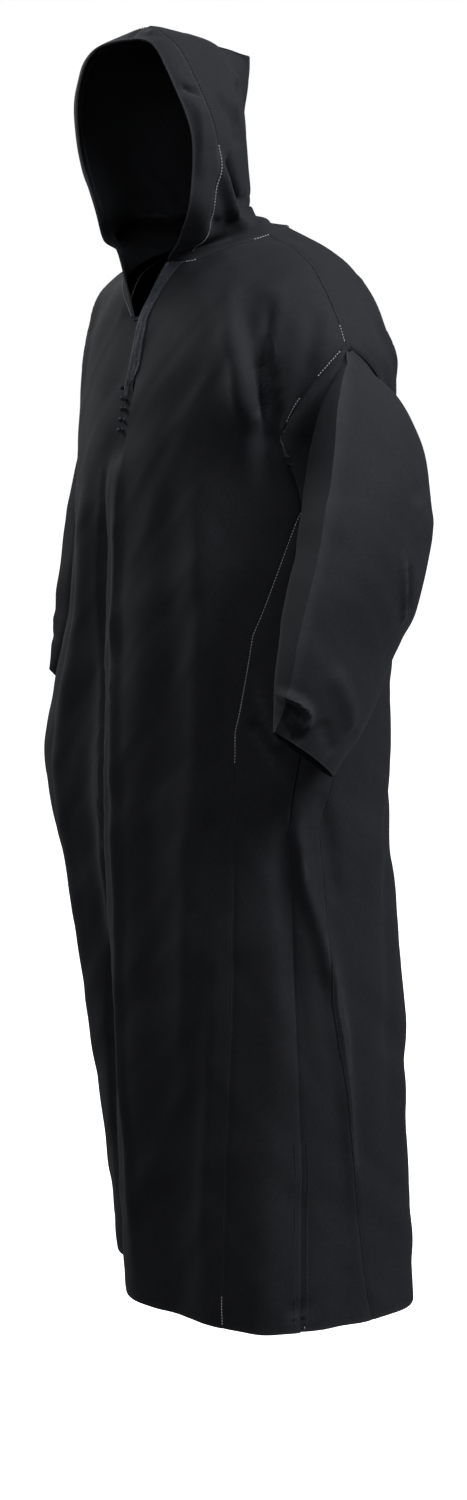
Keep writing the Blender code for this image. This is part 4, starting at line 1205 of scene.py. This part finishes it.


# True marks stretches drawn in light thread as a painted highlight where the stitches catch the light; False
# marks stretches drawn in near-black thread as painted shade.
SEAM_RUNS = [
    SeamRun(True, "front", 3.66, 5.96, -0.0015, -0.0008),
    SeamRun(True, "front", 0.04, 0.28, -0.0015, -0.0008),
    SeamRun(False, "front", 0.28, 3.66, -0.0015, -0.0009),
    SeamRun(False, "back", 0.04, 5.90, 0.0015, -0.0009),
    SeamRun(True, "front", 7.68, 7.94, -0.0015, -0.0008),
    SeamRun(True, "front", 7.20, 7.46, -0.0015, -0.0008),
    SeamRun(False, "front", 6.10, 7.15, -0.0015, -0.0008),
    SeamRun(False, "back", 6.10, 7.90, 0.0015, -0.0008),
    SeamRun(True, "front", 8.02, 8.24, -0.0015, -0.0008),
    SeamRun(False, "front", 8.24, 9.80, -0.0015, -0.0008),
    SeamRun(False, "side", 0.06, 1.20, -0.0075, ON_CLOTH),
    SeamRun(False, "side", 0.06, 1.20, 0.0075, ON_CLOTH),
    SeamRun(True, "side", 0.02, 0.07, 0.0040, ON_CLOTH),
]


class NeckRun(NamedTuple):
    """Stitches below the neck seam, between two angles from the front."""
    light: bool
    start: float
    end: float
    below: float


# As above: True stretches are a painted highlight in light thread, False stretches painted shade in
# near-black thread.
NECK_RUNS = [
    NeckRun(True, 6, 36, 0.0012),
    NeckRun(False, 36, 78, 0.0018),
    NeckRun(True, 78, 92, 0.0018),
    NeckRun(False, 92, 176, 0.0018),
]


class HoodRun(NamedTuple):
    """Stitches down the groove of the hood's band, between two shares of the way down."""
    light: bool
    start: float
    end: float


# As above: True stretches are a painted highlight in light thread, False stretches painted shade in
# near-black thread.
HOOD_RUNS = [
    HoodRun(True, 0.60, 0.97),
    HoodRun(False, 0.02, 0.60),
]


def beside_seam(side, run):
    """The line of stitches beside one of the body's cut lines."""
    rows = np.linspace(run.high, run.low, SEAM_STEPS)
    seam = side * seam_angle(run.seam, rows)
    speed = np.linalg.norm(body_frame(seam, rows)[2], axis=-1)
    return on_body(seam + side * run.aside / speed, rows, run.lift)


def below_neck(side, run):
    """The line of stitches below the neck seam."""
    angles = side * np.linspace(run.start, run.end, NECK_STEPS)
    rows = np.full(len(angles), float(NECK))
    speed = np.linalg.norm(body_frame(angles, rows)[3], axis=-1)
    return on_body(angles, rows - run.below / speed, ON_CLOTH)


def hood_line(side, run, grid, normal):
    """The line of stitches in the groove of the hood's band."""
    middle = grid.shape[0] // 2
    half = grid[middle:] if side > 0 else grid[middle::-1]
    facing = normal[middle:] if side > 0 else normal[middle::-1]
    shares = edge_shares(2 * HALF_PANEL_COLUMNS, HOOD_EDGES)
    at = np.interp(HOOD_SEAM_SHARE + HOOD_STITCH_ASIDE, shares, np.arange(len(shares)))
    low = int(at)
    part = at - low
    line = half[:, low] * (1 - part) + half[:, low + 1] * part
    first = int(run.start * (len(line) - 1))
    last = int(run.end * (len(line) - 1))
    facing = facing[first:last + 1, low]
    return line[first:last + 1] + facing * HOOD_STITCH_LIFT, facing


def sewing(hood_grid, hood_normal):
    """All the stitches that show, in one thread drawn in two tones: light grey as a painted highlight where
    the stitches catch the light, near-black as painted shade where they lie in shade.
    """
    paths = {True: [], False: []}
    for side in (1, -1):
        for run in SEAM_RUNS:
            paths[run.light].append(beside_seam(side, run))
        for run in NECK_RUNS:
            paths[run.light].append(below_neck(side, run))
        for run in HOOD_RUNS:
            paths[run.light].append(hood_line(side, run, hood_grid, hood_normal))
    # Painted highlight and painted shade of the same thread, as two materials.
    light = plain_material("thread_painted_lit", THREAD_PAINTED_LIT, THREAD_PAINTED_LIT_ROUGHNESS)
    dark = plain_material("thread_painted_shaded", THREAD_PAINTED_SHADED, THREAD_PAINTED_SHADED_ROUGHNESS)
    stitch_rows("stitches_painted_lit", paths[True], light, "dark_braid")
    stitch_rows("stitches_painted_shaded", paths[False], dark, "black_twill")


# Braid and knots

def braid(material):
    """Two rows of slanting loops with a raised cord along the outer edge."""
    rows = np.linspace(BRAID_START_ROW, NECK - BRAID_SHORT_OF_NECK, BRAID_ROWS_FINE + 1)
    middle = seam_angle("opening", rows) + 2 * EDGE_ANGLE
    along = body_frame(middle, rows)[2]
    speed = np.linalg.norm(along, axis=-1)
    width = BRAID_NARROW + (BRAID_WIDE - BRAID_NARROW) * smooth((rows - rows[0]) / BRAID_WIDENS_OVER_ROWS)
    width = width * (1.0 - BRAID_TOP_CUT * smooth((rows - NECK) / BRAID_TOP_ROWS + 1.0))
    shares = np.linspace(0.0, 1.0, BRAID_COLUMNS + 1)
    angles = middle[:, None] + (width / speed)[:, None] * shares
    grid_rows = np.repeat(rows[:, None], angles.shape[1], axis=1)
    point, normal, _, _ = body_frame(angles, grid_rows)
    lift = crease_lift(point, BODY_CREASES)
    run = np.concatenate([[0], np.cumsum(np.linalg.norm(np.diff(point[:, 0], axis=0), axis=1))])
    across = shares[None, :] * width[:, None]
    # The loops slant one way up to the braid's middle and the other way past it.
    slant = np.where(shares < BRAID_MIDDLE, across, 2 * BRAID_MIDDLE * width[:, None] - across)
    loops = np.abs(np.sin(math.pi * (run[:, None] + BRAID_SLOPE * slant) / BRAID_PITCH))
    two_rows = np.abs(np.sin(math.pi * np.clip(shares / BRAID_LOOPS_END, 0, 1) * 2)) ** BRAID_LOOPS_POWER
    cord_share = np.clip((shares - BRAID_CORD_FROM) / BRAID_CORD_WIDTH, 0, 1)
    cord = np.where(shares > BRAID_CORD_FROM, np.sin(math.pi * cord_share), 0)
    turning = 2 * math.pi * run[:, None] / BRAID_CORD_PITCH + BRAID_CORD_SLANT * shares
    twist = (1.0 - BRAID_CORD_TWIST) + BRAID_CORD_TWIST * np.sin(turning)
    profile = BRAID_RELIEF * loops * two_rows + BRAID_CORD * cord * twist
    outer = point + normal * (lift + BRAID_LIFT + BRAID_BASE + profile)[..., None]
    inner = point + normal * (lift + BRAID_LIFT)[..., None]
    piece = add_piece("braid_cloth", *wall_mesh(outer, inner, cut_lengths(outer)), material, "dark_braid")
    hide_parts("braid_left")


def wrap_ball(vertex):
    """Raises the turns of cord on a knot's ball."""
    turn = math.atan2(vertex.co.y, vertex.co.x)
    rise = math.asin(max(-1.0, min(1.0, vertex.co.z / KNOT_RADIUS)))
    over = abs(math.sin(KNOT_WRAPS * turn + KNOT_WRAP_SLOPE * rise))
    under = abs(math.sin(KNOT_WRAPS * turn - KNOT_WRAP_SLOPE * rise + KNOT_WRAP_SHIFT))
    vertex.co *= 1.0 + KNOT_WRAP_HEIGHT / KNOT_RADIUS * (max(over, under) - 1.0)
    vertex.co.z *= KNOT_FLATNESS


def draw_loop(vertex):
    """Draws a ring out into a knot's narrow loop, which lies on the cloth."""
    turn = math.atan2(vertex.co.y, vertex.co.x)
    middle = (MODEL_LOOP_RADIUS * math.cos(turn), MODEL_LOOP_RADIUS * math.sin(turn))
    scale = LOOP_CORD / MODEL_LOOP_CORD
    narrowed = 1.0 - LOOP_NARROWS * math.cos(turn)
    x = LOOP_LENGTH * (middle[0] + MODEL_LOOP_RADIUS) + (vertex.co.x - middle[0]) * scale
    y = LOOP_WIDTH * middle[1] * narrowed + (vertex.co.y - middle[1]) * scale
    vertex.co = (x, y, vertex.co.z * scale - KNOT_RADIUS + LOOP_CORD)


def knot_shape():
    """A ball knotted from cord with its loop; Z points off the cloth and X to the opening."""
    bpy.ops.object.select_all(action="DESELECT")
    bpy.ops.mesh.primitive_uv_sphere_add(segments=32, ring_count=20, radius=KNOT_RADIUS)
    ball = bpy.context.object
    reshape(ball, wrap_ball)
    bpy.ops.object.select_all(action="DESELECT")
    bpy.ops.mesh.primitive_torus_add(major_segments=28, minor_segments=8,
                                     major_radius=MODEL_LOOP_RADIUS, minor_radius=MODEL_LOOP_CORD)
    loop = bpy.context.object
    reshape(loop, draw_loop)
    ball.select_set(True)
    loop.select_set(True)
    bpy.context.view_layer.objects.active = ball
    bpy.ops.object.join()
    ball.name = "knot_model"
    return ball


def knots(material):
    """The knots down the right edge of the opening, each a copy of one model with its own mesh."""
    model = knot_shape()
    base = np.array([v.co[:] for v in model.data.vertices])
    levels = np.linspace(ARMPIT, NECK, KNOT_LEVELS)
    heights = body_point(np.full(len(levels), KNOT_ANGLE), levels)[:, 2]
    for number in range(KNOT_COUNT):
        height = KNOT_TOP_HEIGHT - KNOT_SPACING * number
        row = np.array([np.interp(height, heights, levels)])
        angle = seam_angle("opening", row) + KNOT_ANGLE
        point, normal, along, _ = body_frame(angle, row)
        lift = crease_lift(point, BODY_CREASES)
        raised = KNOT_RADIUS + SEAM_GAP + lift[:, None]
        centre = place(point + opening_tuck(angle, row) + normal * raised)[0]
        z = normal[0]
        x = along[0] - z * (along[0] @ z)
        x = x / np.linalg.norm(x)
        y = np.cross(z, x)
        tilt = KNOT_TILT * (-1) ** number
        x, y = x * math.cos(tilt) + y * math.sin(tilt), y * math.cos(tilt) - x * math.sin(tilt)
        piece = model.copy()
        piece.data = model.data.copy()
        piece.name = "knotted_cord_" + str(number + 1)
        piece.data.name = piece.name
        points = centre + base[:, :1] * x + base[:, 1:2] * y + base[:, 2:] * z
        piece.data.vertices.foreach_set("co", points.ravel().astype(np.float32))
        piece.data.materials.clear()
        piece.data.materials.append(material)
        bpy.context.scene.collection.objects.link(piece)
        select_only(piece)
        bpy.ops.object.shade_smooth_by_angle(angle=SHARP_ANGLE)
        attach(piece, "root")
        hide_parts("knot_" + str(number + 1))
    bpy.data.objects.remove(model, do_unlink=True)


def build_all():
    """The whole robe, sheet by sheet, and then its trim and sewing."""
    cloth = twill_material()
    front_panel(cloth)
    back_panel(cloth)
    for side, word in ((1, "left"), (-1, "right")):
        gore(side, word, True, cloth)
        gore(side, word, False, cloth)
    sleeve(1, "left", LEFT_SLEEVE, LEFT_SLEEVE_CREASES, cloth)
    sleeve(-1, "right", RIGHT_SLEEVE, RIGHT_SLEEVE_CREASES, cloth)
    hood_grid, hood_normal = hood(cloth)
    trim = braid_material()
    braid(trim)
    knots(trim)
    sewing(hood_grid, hood_normal)


# Materials

TWILL_RIB = 0.0009
TWILL_WEFT = 0.0006
TWILL_DARK = (0.0082, 0.0084, 0.0106)
TWILL_LIGHT = (0.0182, 0.0182, 0.0208)
TWILL_LINT = (0.06, 0.06, 0.065)
TWILL_RUBBED = (0.034, 0.035, 0.040)
TWILL_SURFACE = {
    "Sheen Weight": 0.03,
    "Sheen Roughness": 0.45,
    "Sheen Tint": (0.86, 0.92, 1.0, 1.0),
    "Specular Tint": (0.84, 0.91, 1.0, 1.0),
    "Specular IOR Level": 0.22,
}
BRAID_DARK = (0.006, 0.008, 0.014)
BRAID_LIGHT = (0.020, 0.025, 0.036)
BRAID_SPECKS = (0.10, 0.12, 0.15)
BRAID_RUBBED = (0.16, 0.18, 0.21)
# One thread drawn in two tones: light grey as a painted highlight for the stitches that catch the light,
# near-black as painted shade for the stitches in shade.
THREAD_PAINTED_LIT = (0.44, 0.45, 0.49)
THREAD_PAINTED_LIT_ROUGHNESS = 0.6
THREAD_PAINTED_SHADED = (0.010, 0.010, 0.012)
THREAD_PAINTED_SHADED_ROUGHNESS = 0.7
WHITE = (1.0, 1.0, 1.0, 1.0)


class Socket:
    """A shader socket that does arithmetic."""

    def __init__(self, shader, output):
        self.shader = shader
        self.output = output

    def maths(self, operation, *values):
        """A Math node on the values."""
        return self.shader.node("ShaderNodeMath", {"operation": operation}, values)

    def __add__(self, other):
        return self.maths("ADD", self, other)

    def __radd__(self, other):
        return self.maths("ADD", other, self)

    def __sub__(self, other):
        return self.maths("SUBTRACT", self, other)

    def __rsub__(self, other):
        return self.maths("SUBTRACT", other, self)

    def __mul__(self, other):
        return self.maths("MULTIPLY", self, other)

    def __rmul__(self, other):
        return self.maths("MULTIPLY", other, self)

    def sine(self):
        return self.maths("SINE", self)

    def clamp(self):
        return self.shader.node("ShaderNodeClamp", {}, {"Value": self})


class Shader:
    """A material's node tree."""

    def __init__(self, name, roughness):
        self.material = bpy.data.materials.new(name)
        self.material.use_nodes = True
        self.tree = self.material.node_tree
        self.surface = self.tree.nodes["Principled BSDF"]
        self.surface.inputs["Roughness"].default_value = roughness

    def node(self, kind, settings, values, output=0):
        """One node: its settings, then the values or links of its sockets, and the socket that it gives."""
        made = self.tree.nodes.new(kind)
        for key, value in settings.items():
            setattr(made, key, value)
        pairs = values.items() if isinstance(values, dict) else enumerate(values)
        for key, value in pairs:
            if isinstance(value, Socket):
                self.tree.links.new(value.output, made.inputs[key])
            else:
                made.inputs[key].default_value = value
        return Socket(self, made.outputs[output])

    def mix(self, factor, low, high):
        """A colour between two colours."""
        made = self.tree.nodes.new("ShaderNodeMix")
        made.data_type = "RGBA"
        for number, value in ((0, factor), (6, low), (7, high)):
            if isinstance(value, Socket):
                self.tree.links.new(value.output, made.inputs[number])
            elif number == 0:
                made.inputs[number].default_value = value
            else:
                made.inputs[number].default_value = (*value, 1.0)
        return Socket(self, made.outputs[2])

    def noise(self, place_in, scale, detail):
        """A noise of the given scale per metre."""
        return self.node("ShaderNodeTexNoise", {}, {"Vector": place_in, "Scale": scale, "Detail": detail})

    def bump(self, strength, distance, height):
        """Feeds the surface's normal from a height."""
        values = {"Strength": strength, "Distance": distance, "Height": height}
        self.feed("Normal", self.node("ShaderNodeBump", {}, values))

    def feed(self, name, socket):
        """Links a socket to the surface."""
        self.tree.links.new(socket.output, self.surface.inputs[name])

    def hold(self, constants):
        """Sets constants on the surface's sockets."""
        for name, value in constants.items():
            self.surface.inputs[name].default_value = value


def twill_material():
    """The black twill: fine ribs, an uneven tone, a little lint, and rubbed edges."""
    shader = Shader("black_twill_cloth", 0.8)
    cut = shader.node("ShaderNodeUVMap", {"uv_map": "cut"}, {})
    place_in = shader.node("ShaderNodeTexCoord", {}, {}, "Object")
    parts = shader.tree.nodes.new("ShaderNodeSeparateXYZ")
    shader.tree.links.new(cut.output, parts.inputs[0])
    u = Socket(shader, parts.outputs[0])
    v = Socket(shader, parts.outputs[1])
    # The twill's ribs lie at 45 degrees to the cut.
    ribs = ((u + v) * (2 * math.pi / TWILL_RIB)).sine() * 0.5 + 0.5
    weft = (v * (2 * math.pi / TWILL_WEFT)).sine() * 0.5 + 0.5
    broad = shader.noise(place_in, 3.2, 3.0)
    fine = shader.noise(place_in, 160.0, 2.0)
    lint = ((shader.noise(place_in, 420.0, 1.0) - 0.70) * 12.0).clamp()
    grain = shader.noise(place_in, 330.0, 2.0)
    tone = (broad * 0.9 + (fine - 0.5) * 0.7 + (grain - 0.5) * 0.9 + ribs * 0.10 - 0.05).clamp()
    base = shader.mix(tone, TWILL_DARK, TWILL_LIGHT)
    base = shader.mix(lint * 0.25, base, TWILL_LINT)
    # The nap is rubbed off along the hems, cuffs and pressed folds.
    wear = shader.node("ShaderNodeAttribute", {"attribute_name": "wear"}, {}, "Fac")
    rubbed = (wear * (0.25 + fine)).clamp()
    shader.feed("Base Color", shader.mix(rubbed * 0.6, base, TWILL_RUBBED))
    shader.feed("Roughness", 0.74 + fine * 0.16)
    shader.bump(0.22, 0.0004, ribs * 0.6 + weft * 0.25 + fine * 0.5)
    shader.hold(TWILL_SURFACE)
    return shader.material


def braid_material():
    """The dark blue braid, with light specks and rubbed cords."""
    shader = Shader("ribbed_braid", 0.6)
    place_in = shader.node("ShaderNodeTexCoord", {}, {}, "Object")
    fine = shader.noise(place_in, 480.0, 2.0)
    base = shader.mix(shader.noise(place_in, 45.0, 2.0), BRAID_DARK, BRAID_LIGHT)
    base = shader.mix(((fine - 0.60) * 9.0).clamp(), base, BRAID_SPECKS)
    wear = shader.node("ShaderNodeAttribute", {"attribute_name": "wear"}, {}, "Fac")
    base = shader.mix((wear * fine * 0.3).clamp(), base, BRAID_RUBBED)
    shader.feed("Base Color", base)
    shader.feed("Roughness", 0.5 + fine * 0.3)
    shader.bump(0.3, 0.0003, fine)
    shader.hold({"Specular IOR Level": 0.3})
    return shader.material


def plain_material(name, colour, roughness):
    """One colour all over."""
    shader = Shader(name, roughness)
    shader.hold({"Base Color": (*colour, 1.0)})
    return shader.material


# Stage

CAMERA_AZIMUTH = math.radians(57.0)
CAMERA_HEIGHT = 1.40
CAMERA_DISTANCE = 3.03
CAMERA_PITCH = math.radians(9.2)
CAMERA_LENS = 58.27
CAMERA_ASIDE = -0.0019
SENSOR_HEIGHT = 36.0
FLOOR_SIZE = 40.0
FLOOR_COLOUR = (0.9, 0.9, 0.9, 1.0)
FLOOR_LIGHT = 1.05
WORLD_LIGHT = 0.13


class Lamp(NamedTuple):
    """A square area lamp: where it is, where it points, its side in metres and its watts."""
    name: str
    place: tuple
    aim: tuple
    size: float
    power: float


LAMPS = [
    Lamp("right", (2.8, 1.2, 2.2), (0.0, 0.0, -0.3), 1.5, 172.0),
    Lamp("left", (-2.9, -0.9, 1.7), (0.0, 0.0, -0.2), 1.5, 72.0),
    Lamp("top", (0.9, -0.9, 2.8), (0.0, 0.0, -0.2), 1.4, 32.0),
    Lamp("fill", (1.5, -1.9, 1.0), (0.0, 0.0, -0.2), 1.2, 9.0),
]


def camera():
    """The camera that gives the photo's view."""
    data = bpy.data.cameras.new("camera")
    data.sensor_fit = "VERTICAL"
    data.sensor_height = SENSOR_HEIGHT
    data.lens = CAMERA_LENS
    item = bpy.data.objects.new("camera", data)
    bpy.context.scene.collection.objects.link(item)
    item.location = (CAMERA_DISTANCE * math.sin(CAMERA_AZIMUTH) + CAMERA_ASIDE * math.cos(CAMERA_AZIMUTH),
                     -CAMERA_DISTANCE * math.cos(CAMERA_AZIMUTH) + CAMERA_ASIDE * math.sin(CAMERA_AZIMUTH),
                     CAMERA_HEIGHT - ORIGIN_HEIGHT)
    item.rotation_euler = (math.pi / 2 - CAMERA_PITCH, 0.0, CAMERA_AZIMUTH)
    bpy.context.scene.camera = item


def add_lamp(lamp):
    """One lamp, turned to where it points."""
    data = bpy.data.lights.new(lamp.name, "AREA")
    data.size = lamp.size
    data.energy = lamp.power
    item = bpy.data.objects.new(lamp.name, data)
    bpy.context.scene.collection.objects.link(item)
    item.location = lamp.place
    direction = np.array(lamp.aim) - np.array(lamp.place)
    turn = math.atan2(direction[1], direction[0])
    tilt = math.atan2(math.hypot(direction[0], direction[1]), -direction[2])
    item.rotation_euler = (tilt, 0.0, turn - math.pi / 2)


def floor_material():
    """A pale floor that gives its own light."""
    shader = Shader("pale_floor", 0.9)
    shader.hold({"Base Color": FLOOR_COLOUR, "Emission Color": WHITE, "Emission Strength": FLOOR_LIGHT})
    return shader.material


def stage():
    """The floor, the light all round and the lamps."""
    bpy.ops.object.select_all(action="DESELECT")
    bpy.ops.mesh.primitive_plane_add(size=FLOOR_SIZE, location=(0, 0, -ORIGIN_HEIGHT))
    floor = bpy.context.object
    floor.name = "floor"
    floor.data.materials.append(floor_material())
    floor.visible_diffuse = False
    floor.visible_glossy = False
    world = bpy.data.worlds.new("studio")
    bpy.context.scene.world = world
    world.use_nodes = True
    tree = world.node_tree
    soft = tree.nodes["Background"]
    soft.inputs["Color"].default_value = WHITE
    soft.inputs["Strength"].default_value = WORLD_LIGHT
    backdrop = tree.nodes.new("ShaderNodeBackground")
    backdrop.inputs["Color"].default_value = WHITE
    rays = tree.nodes.new("ShaderNodeLightPath")
    mix = tree.nodes.new("ShaderNodeMixShader")
    tree.links.new(rays.outputs["Is Camera Ray"], mix.inputs[0])
    tree.links.new(soft.outputs[0], mix.inputs[1])
    tree.links.new(backdrop.outputs[0], mix.inputs[2])
    tree.links.new(mix.outputs[0], tree.nodes["World Output"].inputs[0])
    bpy.context.scene.view_settings.view_transform = "Standard"
    for lamp in LAMPS:
        add_lamp(lamp)


build_all()
camera()
stage()
